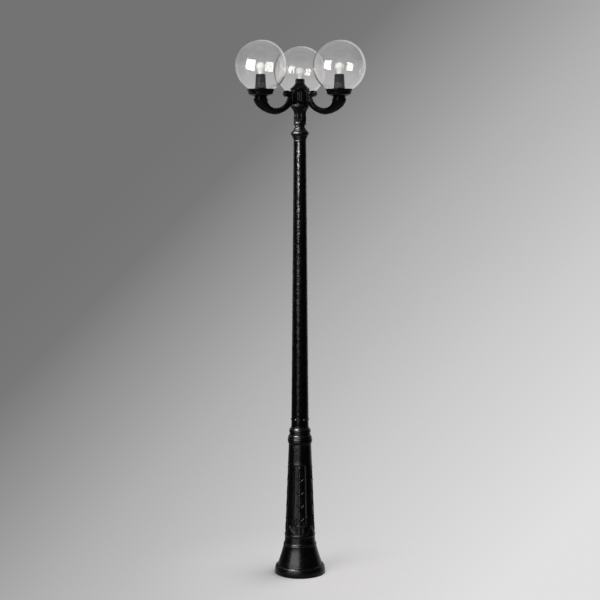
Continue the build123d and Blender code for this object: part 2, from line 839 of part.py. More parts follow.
def make_nipple():
    low = seat_height + cup_bead_height
    flange = cup_floor + tower_floor
    bore = lead_radius + lead_gap
    high = holder_base + nipple_thread_in_holder
    body = rod(nipple_radius, low, high)
    flat = nipple_flange_radius * cos(radians(180 / nut_sides))
    flange_top = flange + nipple_flange_height
    face = outline((0, flange), (flat, flange), (flat, flange_top), (0, flange_top))
    hexagon = many_sided(face, nut_sides, 2 * nipple_flange_radius)
    return body + hexagon - rod(bore, low, high)


def make_holder():
    body = rod(holder_radius, holder_base, holder_top)
    body = body - rod(cap_radius + bulb_gap, socket_floor, holder_top)
    thread_top = holder_base + nipple_thread_in_holder + screw_gap
    return body - rod(nipple_radius + screw_gap, holder_base, thread_top)


def make_bulb_glass():
    neck_base = cap_top - cap_socket + screw_gap
    angle = radians(bulb_waist_angle)
    inner = bulb_radius - bulb_glass
    waist = (bulb_radius * cos(angle), bulb_centre + bulb_radius * sin(angle))
    waist_in = (inner * cos(angle), bulb_centre + inner * sin(angle))
    neck_top_height = cap_top + bulb_neck_rise
    bore = bulb_neck_radius - bulb_glass
    side = (cos(radians(bulb_side_angle)), sin(radians(bulb_side_angle)))
    edges = [
        Line((bore, neck_base), (bulb_neck_radius, neck_base)),
        Line((bulb_neck_radius, neck_base), (bulb_neck_radius, neck_top_height)),
        Line((bulb_neck_radius, neck_top_height), waist),
        ThreePointArc(waist, (bulb_radius * side[0], bulb_centre + bulb_radius * side[1]),
                      (0, bulb_centre + bulb_radius)),
        Line((0, bulb_centre + bulb_radius), (0, bulb_centre + inner)),
        ThreePointArc((0, bulb_centre + inner), (inner * side[0], bulb_centre + inner * side[1]), waist_in),
        Line(waist_in, (bore, neck_top_height)),
        Line((bore, neck_top_height), (bore, neck_base))]
    return revolve(Plane.XZ * make_face(edges), Axis.Z)


def make_bulb_cap():
    base = cap_top - cap_length
    tip = base - cap_tip_length
    floor = cap_top - cap_socket
    seat = bulb_neck_radius + screw_gap
    return turned(
        (0, tip), (cap_tip_radius, tip), (cap_radius - cap_tip_length, base, cap_tip_bow_share),
        (cap_radius, base), (cap_radius, cap_top), (seat, cap_top), (seat, floor), (0, floor))


# All pieces by name

single_pieces = {
    "anchor_plate": make_anchor_plate(),
    "pipe_socket": make_pipe_socket(),
    "inner_pipe": make_pipe(),
    "pedestal": make_pedestal(),
    "pedestal_collar": make_collar(),
    "column": make_column(),
    "column_screws": make_column_screws(),
    "column_knop": make_knop(),
    "neck": make_neck(),
    "hub": make_hub(),
    "hub_nut": make_hub_nut(),
    "terminal_block": make_terminal_block(),
    "hub_cap": make_hub_cap(),
    "arm_bolts": make_arm_bolts(),
    "arm_leads": make_arm_leads(),
}

head_pieces = {
    "arm": make_arm(),
    "cup": at_cup(make_cup()),
    "gasket": at_cup(make_gasket()),
    "globe": at_cup(make_globe()),
    "lamp_tower": at_cup(make_tower()),
    "nipple": at_cup(make_nipple()),
    "lamp_socket": at_cup(make_holder()),
    "bulb_glass": at_cup(make_bulb_glass()),
    "bulb_cap": at_cup(make_bulb_cap()),
}

os.makedirs("parts", exist_ok=True)
for name, piece in single_pieces.items():
    export_step(piece, f"parts/{name}.step")
for name, piece in head_pieces.items():
    for side, angle in arm_angles.items():
        export_step(Rot(0, 0, angle) * piece, f"parts/{name}_{side}.step")
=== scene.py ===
import math

import bmesh
import bpy
from mathutils import Matrix, Vector


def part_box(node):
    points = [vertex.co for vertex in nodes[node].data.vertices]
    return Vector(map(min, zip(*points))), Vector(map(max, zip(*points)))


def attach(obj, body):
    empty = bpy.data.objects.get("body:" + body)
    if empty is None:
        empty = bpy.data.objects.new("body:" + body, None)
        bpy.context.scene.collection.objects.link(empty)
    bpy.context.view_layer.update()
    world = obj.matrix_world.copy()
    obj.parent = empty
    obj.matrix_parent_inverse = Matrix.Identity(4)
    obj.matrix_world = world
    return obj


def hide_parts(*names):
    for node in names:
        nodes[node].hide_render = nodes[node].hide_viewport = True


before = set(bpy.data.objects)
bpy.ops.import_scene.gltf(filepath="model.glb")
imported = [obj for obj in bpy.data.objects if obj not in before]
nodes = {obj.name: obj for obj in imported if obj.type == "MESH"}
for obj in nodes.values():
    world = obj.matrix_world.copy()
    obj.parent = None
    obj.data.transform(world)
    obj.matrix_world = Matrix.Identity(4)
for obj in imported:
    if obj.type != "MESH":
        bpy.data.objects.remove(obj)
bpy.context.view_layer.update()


# Ground plate, pipe socket, pipe and nut: hot-dip galvanised steel. The plate is bolted to the footing, the
# socket is welded to it, and the pipe screws in there and clamps every moulding down by the nut in the hub.

zinc_dull = (0.30, 0.31, 0.32)
zinc_bright = (0.62, 0.63, 0.64)
spangle_scale = 70.0


def new_finish(name):
    """A material with its node tree and its shader."""
    made = bpy.data.materials.new(name)
    made.use_nodes = True
    return made, made.node_tree, made.node_tree.nodes["Principled BSDF"]


def set_inputs(node, **inputs):
    """Plain values on some of a node's inputs."""
    for name, value in inputs.items():
        node.inputs[name.replace("_", " ")].default_value = value
    return node


def add(tree, kind, **inputs):
    """A node in a tree, with plain values on some of its inputs."""
    return set_inputs(tree.nodes.new(kind), **inputs)


def place(tree, stretch=(1, 1, 1)):
    """The piece's own coordinates, stretched along its axes."""
    coordinates = tree.nodes.new("ShaderNodeTexCoord")
    mapping = add(tree, "ShaderNodeMapping", Scale=stretch)
    tree.links.new(coordinates.outputs["Object"], mapping.inputs["Vector"])
    return mapping.outputs["Vector"]


def grain(tree, scale, detail=3.0, stretch=(1, 1, 1)):
    """Cloudy noise with about this many grains in a metre."""
    noise = add(tree, "ShaderNodeTexNoise", Scale=scale, Detail=detail)
    tree.links.new(place(tree, stretch), noise.inputs["Vector"])
    return noise.outputs["Fac"]


def cells(tree, scale):
    """Cells of many colours, about this many in a metre."""
    voronoi = add(tree, "ShaderNodeTexVoronoi", Scale=scale)
    tree.links.new(place(tree), voronoi.inputs["Vector"])
    return voronoi.outputs["Color"]


def spread(tree, value, low, high, start=0.35, end=0.65):
    """A value spread between two numbers."""
    node = add(tree, "ShaderNodeMapRange", From_Min=start, From_Max=end, To_Min=low, To_Max=high)
    tree.links.new(value, node.inputs["Value"])
    return node.outputs["Result"]


def between(tree, value, dark, light, start=0.35, end=0.65):
    """A value spread between two colours."""
    ramp = tree.nodes.new("ShaderNodeValToRGB")
    for element, colour, position in zip(ramp.color_ramp.elements, (dark, light), (start, end)):
        element.color = (*colour, 1)
        element.position = position
    tree.links.new(value, ramp.inputs["Fac"])
    return ramp.outputs["Color"]


def raise_by(tree, shader, height, depth):
    """Relief on a shader, on top of the relief that it has already."""
    bump = add(tree, "ShaderNodeBump", Distance=depth)
    normal = shader.inputs["Normal"]
    if normal.is_linked:
        tree.links.new(normal.links[0].from_socket, bump.inputs["Normal"])
    tree.links.new(height, bump.inputs["Height"])
    tree.links.new(bump.outputs["Normal"], normal)


def galvanised_zinc():
    made, tree, shader = new_finish("galvanised_zinc")
    spangle = cells(tree, spangle_scale)
    tree.links.new(between(tree, spangle, zinc_dull, zinc_bright, 0.1, 0.9), shader.inputs["Base Color"])
    tree.links.new(spread(tree, grain(tree, 160), 0.38, 0.6), shader.inputs["Roughness"])
    set_inputs(shader, Metallic=1.0)
    raise_by(tree, shader, grain(tree, 900), 0.00008)
    return made


def dress(finish, *names):
    """Gives a finish to nodes that show as they are."""
    for name in names:
        nodes[name].data.materials.clear()
        nodes[name].data.materials.append(finish)


zinc = galvanised_zinc()
dress(zinc, "anchor_plate", "pipe_socket", "inner_pipe", "hub_nut")


# Pedestal: one hollow moulding in black resin, drawn from its mould in four quarters. A bellied foot, a cone
# and ring mouldings carry a tapering shaft with four sunk panels of vine tracery and a calyx of leaves round
# its base. It stands over the ground plate and is clamped by the pipe.

resin_deep = (0.0010, 0.0010, 0.0011)
resin_worn = (0.0024, 0.0024, 0.0026)


def clouded(name, dark, light, cloud, sheen, patches, pits, depth, detail=3.0, **values):
    """A finish of cloudy colour and patchy sheen with a pitted skin, each with so many grains in a metre, and
    plain values on other inputs."""
    made, tree, shader = new_finish(name)
    tree.links.new(between(tree, grain(tree, cloud, detail), dark, light), shader.inputs["Base Color"])
    tree.links.new(spread(tree, grain(tree, patches), *sheen), shader.inputs["Roughness"])
    set_inputs(shader, **values)
    raise_by(tree, shader, grain(tree, pits), depth)
    return made


def moulded_resin(name, peel_depth, sheen):
    """Black resin from a mould: slightly cloudy, with an orange-peel skin and a fine grain."""
    made = clouded(name, resin_deep, resin_worn, cloud=26, sheen=sheen, patches=75,
                   pits=260, depth=peel_depth, Specular_IOR_Level=0.12)
    tree = made.node_tree
    raise_by(tree, tree.nodes["Principled BSDF"], grain(tree, 1500, 2.0), 0.00004)
    return made


black_resin = moulded_resin("black_resin", 0.00014, (0.21, 0.30))


def bowed(start, end, bulge):
    """Points from start to end, on an arc that stands out to the right by that share of half the run."""
    start, end = Vector(start), Vector(end)
    if not bulge:
        return [start, end]
    run = end - start
    right = Vector((run.y, -run.x))
    sweep = 4 * math.atan(bulge)
    count = max(4, math.ceil(abs(sweep) / math.radians(9)))
    points = []
    for index in range(count + 1):
        turn = sweep * (index / count - 0.5)
        along = 0.5 + math.sin(turn) / (2 * math.sin(sweep / 2))
        out = (math.cos(turn) - math.cos(sweep / 2)) / (2 * math.sin(sweep / 2))
        points.append(start + run * along + right * out)
    return points


def outline(*corners, edge=0.0009):
    """Points of a closed outline of radii and heights. A corner's third number bows the run that ends there,
    and sharp corners are eased by a moulded edge."""
    runs = [bowed(corners[index - 1][:2], corner[:2], corner[2] if len(corner) > 2 else 0)
            for index, corner in enumerate(corners)]
    points = []
    for run, onward in zip(runs, runs[1:] + runs[:1]):
        corner = run[-1]
        back, ahead = run[-2] - corner, onward[1] - corner
        sharp = back.length > 0 and ahead.length > 0 and back.angle(-ahead) > math.radians(14)
        points += run[1:-1]
        if sharp and corner.x > 0:
            reach = min(edge, 0.4 * back.length, 0.4 * ahead.length)
            first, last = corner + back.normalized() * reach, corner + ahead.normalized() * reach
            points += [first, (first + 2 * corner + last) / 4, last]
        else:
            points.append(corner)
    return points


def skin(rings, loop=True):
    """A mesh through rings of points. Where the last ring doesn't meet the first, both ends are closed."""
    shape = bmesh.new()
    rows = [[shape.verts.new(point) for point in ring] for ring in rings]
    for low, high in zip(rows, rows[1:] + rows[:1] if loop else rows[1:]):
        for index in range(len(low)):
            shape.faces.new((low[index - 1], low[index], high[index], high[index - 1]))
    if not loop:
        shape.faces.new(rows[0])
        shape.faces.new(rows[-1])
    bmesh.ops.remove_doubles(shape, verts=shape.verts, dist=1e-6)
    bmesh.ops.recalc_face_normals(shape, faces=shape.faces)
    return shape


def circle(radius, height, angles):
    """A ring of points at these angles, counted from the front."""
    return [(radius * math.sin(angle), -radius * math.cos(angle), height) for angle in angles]


def even_turn(count):
    return [2 * math.pi * index / count for index in range(count)]


def as_mesh(name, shape):
    """A shape written into a mesh, and let go."""
    mesh = bpy.data.meshes.new(name)
    shape.to_mesh(mesh)
    shape.free()
    return mesh


def put(name, data):
    """A new object in the scene."""
    made = bpy.data.objects.new(name, data)
    bpy.context.scene.collection.objects.link(made)
    return made


def join(*shapes):
    """Several shapes as one."""
    whole = shapes[0]
    for shape in shapes[1:]:
        carried = as_mesh("carried", shape)
        whole.from_mesh(carried)
        bpy.data.meshes.remove(carried)
    return whole


def show(name, shape, finish, body, slot, *stands_for, crease=34):
    """A finished piece: its mesh and finish, the body it moves with, and the nodes it stands for."""
    mesh = as_mesh(name, shape)
    mesh.materials.append(finish)
    mesh.shade_smooth()
    mesh.set_sharp_from_angle(angle=math.radians(crease))
    made = put(name, mesh)
    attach(made, body)
    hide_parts(*stands_for)


def new_tree(name, **sizes):
    """An empty tree of geometry nodes, with a mesh and named sizes going in and a mesh coming out."""
    tree = bpy.data.node_groups.new(name, "GeometryNodeTree")
    tree.interface.new_socket("Mesh", in_out="OUTPUT", socket_type="NodeSocketGeometry")
    tree.interface.new_socket("Mesh", in_out="INPUT", socket_type="NodeSocketGeometry")
    for size, kind in sizes.items():
        tree.interface.new_socket(size.replace("_", " "), in_out="INPUT", socket_type="NodeSocket" + kind)
    return tree, tree.nodes.new("NodeGroupInput"), tree.nodes.new("NodeGroupOutput")


def wire(tree, source, node, name, output=0):
    """Joins a node's output to another node's named input."""
    tree.links.new(source.outputs[output], node.inputs[name])
    return node


def reckon(tree, operation, *values):
    """A reckoning with two values, each of them a number or a node's output."""
    node = tree.nodes.new("ShaderNodeMath")
    node.operation = operation
    for socket, value in zip(node.inputs, values):
        if isinstance(value, (int, float)):
            socket.default_value = value
        else:
            tree.links.new(value, socket)
    return node.outputs[0]


def end_tree(tree, sizes, last, result):
    """The end of a tree: its copies made real and its finish set."""
    real = wire(tree, last, tree.nodes.new("GeometryNodeRealizeInstances"), "Geometry")
    dressed = wire(tree, real, tree.nodes.new("GeometryNodeSetMaterial"), "Geometry")
    wire(tree, sizes, dressed, "Material", "Finish")
    wire(tree, dressed, result, "Mesh")
    return tree


def copies_round_the_axis():
    """Turns copies of a mesh evenly round the upright axis."""
    tree, sizes, result = new_tree("copies_round_the_axis", Count="Int", Finish="Material")
    points = wire(tree, sizes, tree.nodes.new("GeometryNodePoints"), "Count", "Count")
    index = tree.nodes.new("GeometryNodeInputIndex")
    step = reckon(tree, "DIVIDE", 2 * math.pi, sizes.outputs["Count"])
    turn = tree.nodes.new("ShaderNodeCombineXYZ")
    tree.links.new(reckon(tree, "MULTIPLY", index.outputs[0], step), turn.inputs["Z"])
    copies = wire(tree, points, tree.nodes.new("GeometryNodeInstanceOnPoints"), "Points")
    wire(tree, sizes, copies, "Instance", "Mesh")
    wire(tree, turn, copies, "Rotation")
    return end_tree(tree, sizes, copies, result)


def grown(tree, mesh, **sizes):
    """What a tree of geometry nodes makes of a mesh, as a plain mesh."""
    holder = put("holder", mesh)
    modifier = holder.modifiers.new("nodes", "NODES")
    modifier.node_group = tree
    for socket in tree.interface.items_tree:
        size = socket.name.replace(" ", "_")
        if socket.in_out == "INPUT" and size in sizes:
            modifier[socket.identifier] = sizes[size]
    graph = bpy.context.evaluated_depsgraph_get()
    plain = bpy.data.meshes.new_from_object(holder.evaluated_get(graph), depsgraph=graph)
    shape = bmesh.new()
    shape.from_mesh(plain)
    bpy.data.objects.remove(holder)
    bpy.data.meshes.remove(plain)
    return shape


def repeated(shape, count, finish):
    """A shape and its copies round the upright axis."""
    return grown(turner, as_mesh("one_copy", shape), Count=count, Finish=finish)


turner = copies_round_the_axis()

pedestal_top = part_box("pedestal")[1].z
foot_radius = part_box("pedestal")[1].x
shaft_base = 0.199
shaft_base_radius = 0.0727
shaft_top_radius = 0.0555
plate_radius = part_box("anchor_plate")[1].x
plate_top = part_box("anchor_plate")[1].z
pipe_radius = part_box("inner_pipe")[1].x
pedestal_wall = 0.006
pedestal_deck = 0.008
slip = 0.0004
bore = pipe_radius + slip
plate_recess = plate_radius + slip
panel_count = 4
panel_half = math.radians(26)
panel_low = 0.247
panel_high = 0.543
panel_depth = 0.0026
panel_slope = 0.0024
frame_width = 0.0050
frame_height = 0.0013


def shaft_radius(height):
    share = (height - shaft_base) / (pedestal_top - shaft_base)
    return shaft_base_radius + share * (shaft_top_radius - shaft_base_radius)


def softly(value):
    """A step from 0 to 1 with eased ends."""
    share = max(0, min(1, value))
    return share * share * (3 - 2 * share)


def panel_relief(angle, height):
    """How far the wall stands out there: a raised frame round each panel, and the panel sunk inside it."""
    quarter = 2 * math.pi / panel_count
    off = abs((angle + quarter / 2) % quarter - quarter / 2)
    across = (panel_half - off) * shaft_radius(height)
    inside = min(across, height - panel_low, panel_high - height)
    if inside < -frame_width:
        return 0
    if inside < 0:
        return frame_height * math.sin(math.pi * -inside / frame_width)
    return -panel_depth * softly(inside / panel_slope)


def steps(start, end, count):
    """Even steps from start, short of the end."""
    return [start + (end - start) * index / count for index in range(count)]


def pedestal_angles():
    """Angles of the wall's columns, close together along the edges of the panels."""
    quarter = math.pi / panel_count
    rise, drop = math.radians(4.6), math.radians(2.4)
    half = (steps(0, panel_half - drop, 9) + steps(panel_half - drop, panel_half + rise, 13)
            + steps(panel_half + rise, quarter, 6))
    whole = half + [2 * quarter - angle for angle in [quarter] + half[:0:-1]]
    return [index * 2 * quarter + angle for index in range(panel_count) for angle in whole]


def pedestal_body():
    cone_low, cone_high, bead, cove, band = 0.052, 0.139, 0.145, 0.151, 0.186
    foot = outline(
        (plate_recess, 0), (foot_radius, 0), (foot_radius, 0.014), (0.1218, 0.030, 0.06),
        (0.1132, 0.0425, 0.26), (0.1085, 0.0435), (0.107, cone_low), (0.0806, cone_high, -0.03),
        (0.0798, bead, 0.44), (0.0784, cove, 0.44), (0.0772, cove + 0.0015), (0.0745, 0.172, -0.06),
        (0.0740, band), (shaft_base_radius + 0.0004, shaft_base, 0.34),
        (shaft_base_radius, shaft_base + 0.002), (0.06, shaft_base + 0.002), (0.06, plate_top),
        (plate_recess, plate_top))
    angles = pedestal_angles()
    outer = foot[1:foot.index(next(p for p in foot if p.x < 0.0605))]
    rings = [circle(*point, angles) for point in outer]
    margin = frame_width + 0.0005
    drop = panel_slope + 0.0005
    heights = (steps(shaft_base + 0.004, panel_low - margin, 4)
               + steps(panel_low - margin, panel_low + drop, 12)
               + steps(panel_low + drop, panel_high - drop, 12)
               + steps(panel_high - drop, panel_high + margin, 12)
               + steps(panel_high + margin, pedestal_top - 0.001, 4))
    for height in heights:
        rings.append([circle(shaft_radius(height) + panel_relief(angle, height), height, [angle])[0]
                      for angle in angles])
    deck = pedestal_top - pedestal_deck
    inner = [(shaft_top_radius - 0.0003, pedestal_top - 0.0006), (shaft_top_radius - 0.001, pedestal_top),
             (bore, pedestal_top), (bore, deck),
             (shaft_radius(deck) - pedestal_wall, deck), (shaft_base_radius - pedestal_wall, shaft_base),
             (0.068, 0.165), (0.073, cone_high), (0.100, cone_low), (0.100, plate_top + pedestal_wall),
             (0.100, plate_top), (plate_recess, plate_top), (plate_recess, 0)]
    rings += [circle(*point, angles) for point in inner]
    return skin(rings)


def leaf(bend, width, height, lobes=4, lift=0.0, sink=0.0012, along=22, across=7):
    """Rings of a carved leaf along a bent line on a flat sheet, as (across, along, out): lobed edges, a
    midrib, veins and a tip that lifts off. Its underside sinks below the sheet."""
    start, knee, tip = (Vector(point) for point in bend)
    rings = []
    for index in range(along + 1):
        s = index / along
        middle = start * (1 - s) ** 2 + knee * 2 * s * (1 - s) + tip * s * s
        heading = ((knee - start) * (1 - s) + (tip - knee) * s).normalized()
        side = Vector((heading.y, -heading.x))
        lobe = 1 + 0.14 * math.cos(2 * math.pi * lobes * s)
        half = width * math.sin(math.pi * (0.16 + 0.84 * s)) ** 0.8 * lobe
        swell = min(1, 0.45 + 2.2 * s) * (1 - 0.5 * s ** 4)
        top, under = [], []
        for column in range(-across, across + 1):
            t = column / across
            crown = 0.28 + 0.42 * (1 - t * t) + 0.30 * math.exp(-((t / 0.16) ** 2))
            vein = 0.13 * (1 - t * t) * math.cos(2 * math.pi * (lobes * s - 0.7 * abs(t)))
            spot = middle + side * (half * t)
            out = height * (crown + vein) * swell + lift * s ** 3
            top.append((spot.x, spot.y, out))
            under.append((spot.x, spot.y, -sink))
        rings.append(top + under[::-1])
    return rings


def laid(rings, surface):
    """A closed mesh of rings drawn on a flat sheet, laid on a surface."""
    return skin([[surface(*point) for point in ring] for ring in rings], loop=False)


def on_shaft(across, height, out):
    """A point on the pedestal's shaft, from the front's centre line."""
    return circle(shaft_radius(height) + out, height, [across / shaft_radius(height)])[0]


def mirrored(rings):
    return [[(-across, along, out) for across, along, out in ring] for ring in rings]


def calyx():
    """Four leaves that open like a palmette under a panel."""
    base = shaft_base + 0.002
    upper = leaf(((0.016, base), (0.018, base + 0.050), (0.035, base + 0.096)), 0.0085, 0.0030, lift=0.0014)
    lower = leaf(((0.022, base), (0.042, base + 0.008), (0.056, base + 0.046)), 0.0085, 0.0026, lift=0.0012)
    leaves = [upper, mirrored(upper), lower, mirrored(lower)]
    return join(*[laid(rings, on_shaft) for rings in leaves])


vine_low = 0.268
vine_high = 0.528
vine_lenses = 4
vine_sway = 0.0125
vine_width = 0.0019


def vine_strand(side):
    """One strand of the vine, a half-round rib that sways across the sunk panel."""
    count = 96
    rings = []
    for index in range(count + 1):
        share = index / count
        height = vine_low + share * (vine_high - vine_low)
        across = side * vine_sway * math.sin(math.pi * vine_lenses * share) * (1 - 0.25 * share)
        ring = []
        for turn in even_turn(10):
            out = -panel_depth + 0.0004 + 0.0026 * math.sin(turn)
            ring.append(on_shaft(across + vine_width * math.cos(turn), height, out))
        rings.append(ring)
    return skin(rings, loop=False)


def berry(across, height, radius):
    """A round boss on the floor of a panel."""
    rings = []
    for index in range(7):
        tilt = math.radians(-30 + 20 * index)
        reach = radius * math.cos(tilt)
        out = -panel_depth + radius * (0.2 + math.sin(tilt))
        rings.append([on_shaft(across + reach * math.cos(turn), height + reach * math.sin(turn), out)
                      for turn in even_turn(14)])
    return skin(rings, loop=False)


def on_panel(across, height, out):
    return on_shaft(across, height, out - panel_depth)


def tracery():
    """Two strands that cross and part, with a leaf in every lens, a berry at every crossing and leaves
    outside."""
    shapes = [vine_strand(1), vine_strand(-1)]
    lens = (vine_high - vine_low) / vine_lenses
    for index in range(vine_lenses):
        low = vine_low + index * lens
        size = 1 - 0.07 * index
        inner = leaf(((0, low + 0.010), (0, low + 0.03), (0, low + lens - 0.010)),
                     0.0058 * size, 0.0026, lobes=3)
        outer = leaf(((0.005, low + 0.004), (0.015, low + 0.002), (0.0205 * size, low + 0.020)),
                     0.0042 * size, 0.0024, lobes=3, lift=0.0008)
        shapes += [laid(rings, on_panel) for rings in (inner, outer, mirrored(outer))]
        shapes.append(berry(0, low, 0.0034))
    finial = leaf(((0, vine_high - 0.004), (0, vine_high + 0.002), (0, vine_high + 0.013)),
                  0.0075, 0.0030, lobes=3)
    return join(*shapes, laid(finial, on_panel), berry(0, vine_high, 0.0034))


show("pedestal_moulding",
     join(pedestal_body(), repeated(join(calyx(), tracery()), panel_count, black_resin)),
     black_resin, "post", "black_resin", "pedestal")


# Collar: a turned ring of the same resin between the pedestal and the column. It drops over the pipe and its
# spigot centres the column, which is screwed to it.

collar_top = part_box("column")[0].z
column_bottom_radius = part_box("column")[1].x


def turned(points, count=112):
    """An outline of radii and heights swung round the post's axis."""
    angles = even_turn(count)
    return skin([circle(*point, angles) for point in points])


def collar():
    low = pedestal_top
    spigot_top = collar_top + 0.062
    spigot = column_bottom_radius - 0.0049
    return turned(outline(
        (bore, low), (shaft_top_radius, low), (shaft_top_radius, low + 0.0080),
        (shaft_top_radius - 0.0008, low + 0.0095), (0.0602, low + 0.030, 0.13), (0.0592, low + 0.0385, 0.05),
        (0.0578, low + 0.0395), (0.0518, low + 0.0560, 0.25), (0.0513, low + 0.0575), (0.0513, low + 0.0690),
        (0.0528, low + 0.0715, 0.4), (0.0526, low + 0.0745), (0.0480, low + 0.0870, 0.25),
        (column_bottom_radius + 0.0010, collar_top - 0.0008, -0.10),
        (column_bottom_radius + 0.0006, collar_top), (spigot, collar_top), (spigot - 0.0005, spigot_top),
        (spigot - 0.0055, spigot_top), (spigot - 0.0055, low + pedestal_deck), (bore, low + pedestal_deck)))


show("collar_ring", collar(), black_resin, "post", "black_resin", "pedestal_collar")


# Column: a long tapering tube of black resin, moulded with a hammered skin of shallow dents that break its
# highlight into a wavy line. It stands on the collar's spigot and is held there by a ring of screws.

column_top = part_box("column")[1].z
column_top_radius = 0.031
column_wall = 0.004
dent_size = 0.0085
dent_depth = 0.0011
dent_stretch = 0.72
dent_blend = 0.25


def vector_math(tree, operation, source, by=None):
    """A step of vector arithmetic on a node's output, by a plain vector where it needs one."""
    node = tree.nodes.new("ShaderNodeVectorMath")
    node.operation = operation
    tree.links.new(source, node.inputs[0])
    if by:
        node.inputs[1].default_value = by
    return node


def hammered_skin():
    """Dents the outer wall of a tube along its radius, in cells that are a little taller than wide."""
    tree, sizes, result = new_tree("hammered_skin", Dent_size="Float", Dent_depth="Float", Finish="Material")
    where = tree.nodes.new("GeometryNodeInputPosition").outputs[0]
    level = vector_math(tree, "MULTIPLY", where, (1, 1, dent_stretch))
    dents = add(tree, "ShaderNodeTexVoronoi")
    dents.feature = "SMOOTH_F1"
    set_inputs(dents, Smoothness=dent_blend)
    tree.links.new(level.outputs[0], dents.inputs["Vector"])
    tree.links.new(reckon(tree, "DIVIDE", 1.0, sizes.outputs["Dent size"]), dents.inputs["Scale"])
    hollow = reckon(tree, "MULTIPLY", dents.outputs["Distance"], dents.outputs["Distance"])
    sunk = reckon(tree, "SUBTRACT", hollow, 0.25)
    depth = reckon(tree, "MULTIPLY", sunk, sizes.outputs["Dent depth"])
    skin_only = add(tree, "GeometryNodeInputNamedAttribute", Name="hammered")
    depth = reckon(tree, "MULTIPLY", depth, skin_only.outputs[0])
    outward = vector_math(tree, "MULTIPLY", where, (1, 1, 0))
    unit = vector_math(tree, "NORMALIZE", outward.outputs[0])
    offset = vector_math(tree, "SCALE", unit.outputs[0])
    tree.links.new(depth, offset.inputs["Scale"])
    moved = wire(tree, sizes, tree.nodes.new("GeometryNodeSetPosition"), "Geometry", "Mesh")
    wire(tree, offset, moved, "Offset")
    return end_tree(tree, sizes, moved, result)


def column_tube():
    """The plain tube, with its outer wall marked for hammering except close to its ends."""
    rows, columns = 700, 116
    angles = even_turn(columns)
    fade = 0.012
    rings, marks = [], []
    for index in range(rows + 1):
        share = index / rows
        height = collar_top + share * (column_top - collar_top)
        radius = column_bottom_radius + share * (column_top_radius - column_bottom_radius)
        rings.append(circle(radius, height, angles))
        marks.append(min(1, (height - collar_top) / fade, (column_top - height) / fade))
    rings.append(circle(column_top_radius - column_wall, column_top, angles))
    rings.append(circle(column_bottom_radius - column_wall, collar_top, angles))
    mesh = as_mesh("column_tube", skin(rings))
    marked = mesh.attributes.new("hammered", "FLOAT", "POINT")
    for index in range(len(marks) * columns):
        marked.data[index].value = marks[index // columns]
    return mesh


hammered_resin = moulded_resin("hammered_resin", 0.00045, (0.20, 0.30))
column = grown(hammered_skin(), column_tube(),
               Dent_size=dent_size, Dent_depth=dent_depth, Finish=hammered_resin)
show("column_tube", column, hammered_resin, "post", "black_resin", "column", crease=60)


# Column screws: six domed screws of blackened steel with a six-sided socket, turned on a lathe. They go
# through the foot of the column into the collar's spigot.

screw_height = collar_top + 0.037
screw_count = 6
screw_head = 0.0050
screw_crown = 0.0027
screw_shank = 0.0030
screw_key = 0.0022
screw_key_corner = 1.12 * screw_key
screw_turn = 30


def about_post(degrees):
    return Matrix.Rotation(math.radians(degrees), 3, "Z")


def swung(shape, degrees):
    """A shape turned round the post."""
    bmesh.ops.rotate(shape, verts=shape.verts, cent=(0, 0, 0), matrix=about_post(degrees))
    return shape


def column_screw():
    """One domed screw with a six-sided socket, lying along the front's radius."""
    share = (screw_height - collar_top) / (column_top - collar_top)
    seat = column_bottom_radius + share * (column_top_radius - column_bottom_radius) - 0.0004
    brim = seat + 0.0006
    rows = [(screw_shank, seat - 0.012), (screw_shank, seat), (screw_head, seat), (screw_head, brim)]
    for tilt in (18, 34, 48, 60):
        rows.append((screw_head * math.cos(math.radians(tilt)) + 0.0004,
                     brim + screw_crown * math.sin(math.radians(tilt))))
    rings = []
    for radius, reach in rows:
        rings.append([(radius * math.cos(turn), -reach, screw_height + radius * math.sin(turn))
                      for turn in even_turn(36)])
    for reach in (seat + screw_crown, seat + screw_crown - screw_key):
        ring = []
        for turn in even_turn(36):
            key = screw_key_corner * math.cos(math.pi / 6) / math.cos(turn % (math.pi / 3) - math.pi / 6)
            ring.append((key * math.cos(turn), -reach, screw_height + key * math.sin(turn)))
        rings.append(ring)
    return swung(skin(rings, loop=False), screw_turn)


screw_steel = clouded("blackened_steel", (0.016, 0.016, 0.018), (0.05, 0.05, 0.052), cloud=300,
                      sheen=(0.2, 0.36), patches=500, pits=1800, depth=0.00003, Metallic=0.7)
show("column_screw_heads", repeated(column_screw(), screw_count, screw_steel), screw_steel,
     "post", "black_screw", "column_screws")


# Knop: a double cone of black resin with a turned profile. It plugs into the column's top by a spigot and is
# clamped there by the pipe.

knop_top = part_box("neck")[0].z
knop_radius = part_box("column_knop")[1].x


def knop():
    low = column_top
    spigot = column_top_radius - column_wall - slip
    return turned(outline(
        (bore, low - 0.040), (spigot, low - 0.040), (spigot, low),
        (column_top_radius + 0.0004, low), (column_top_radius + 0.0010, low + 0.0035),
        (column_top_radius - 0.0006, low + 0.0055), (0.0316, low + 0.010), (0.0378, low + 0.0262, 0.06),
        (0.0398, low + 0.0275), (knop_radius, low + 0.0370, 0.06), (0.0400, low + 0.0465, 0.20),
        (0.0290, low + 0.0580, -0.04), (0.0293, low + 0.0585), (0.0262, low + 0.0655, 0.25),
        (0.0250, low + 0.0660), (0.0240, low + 0.0675), (0.0240, knop_top), (bore, knop_top)))


show("knop_turning", knop(), black_resin, "post", "black_resin", "column_knop")


# Neck: a black resin moulding with eight fluted faces that flare upwards, a round bead at its foot and a ring
# at its head. It drops over the pipe, on the knop.

neck_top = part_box("neck")[1].z
neck_sides = 8
neck_face = 0.0298
neck_flare = 0.0415
neck_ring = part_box("neck")[1].x
flute_half = 0.0065
flute_depth = 0.0008
flute_margin = 0.006
flute_slope = 0.005
corner_ease = 0.0009


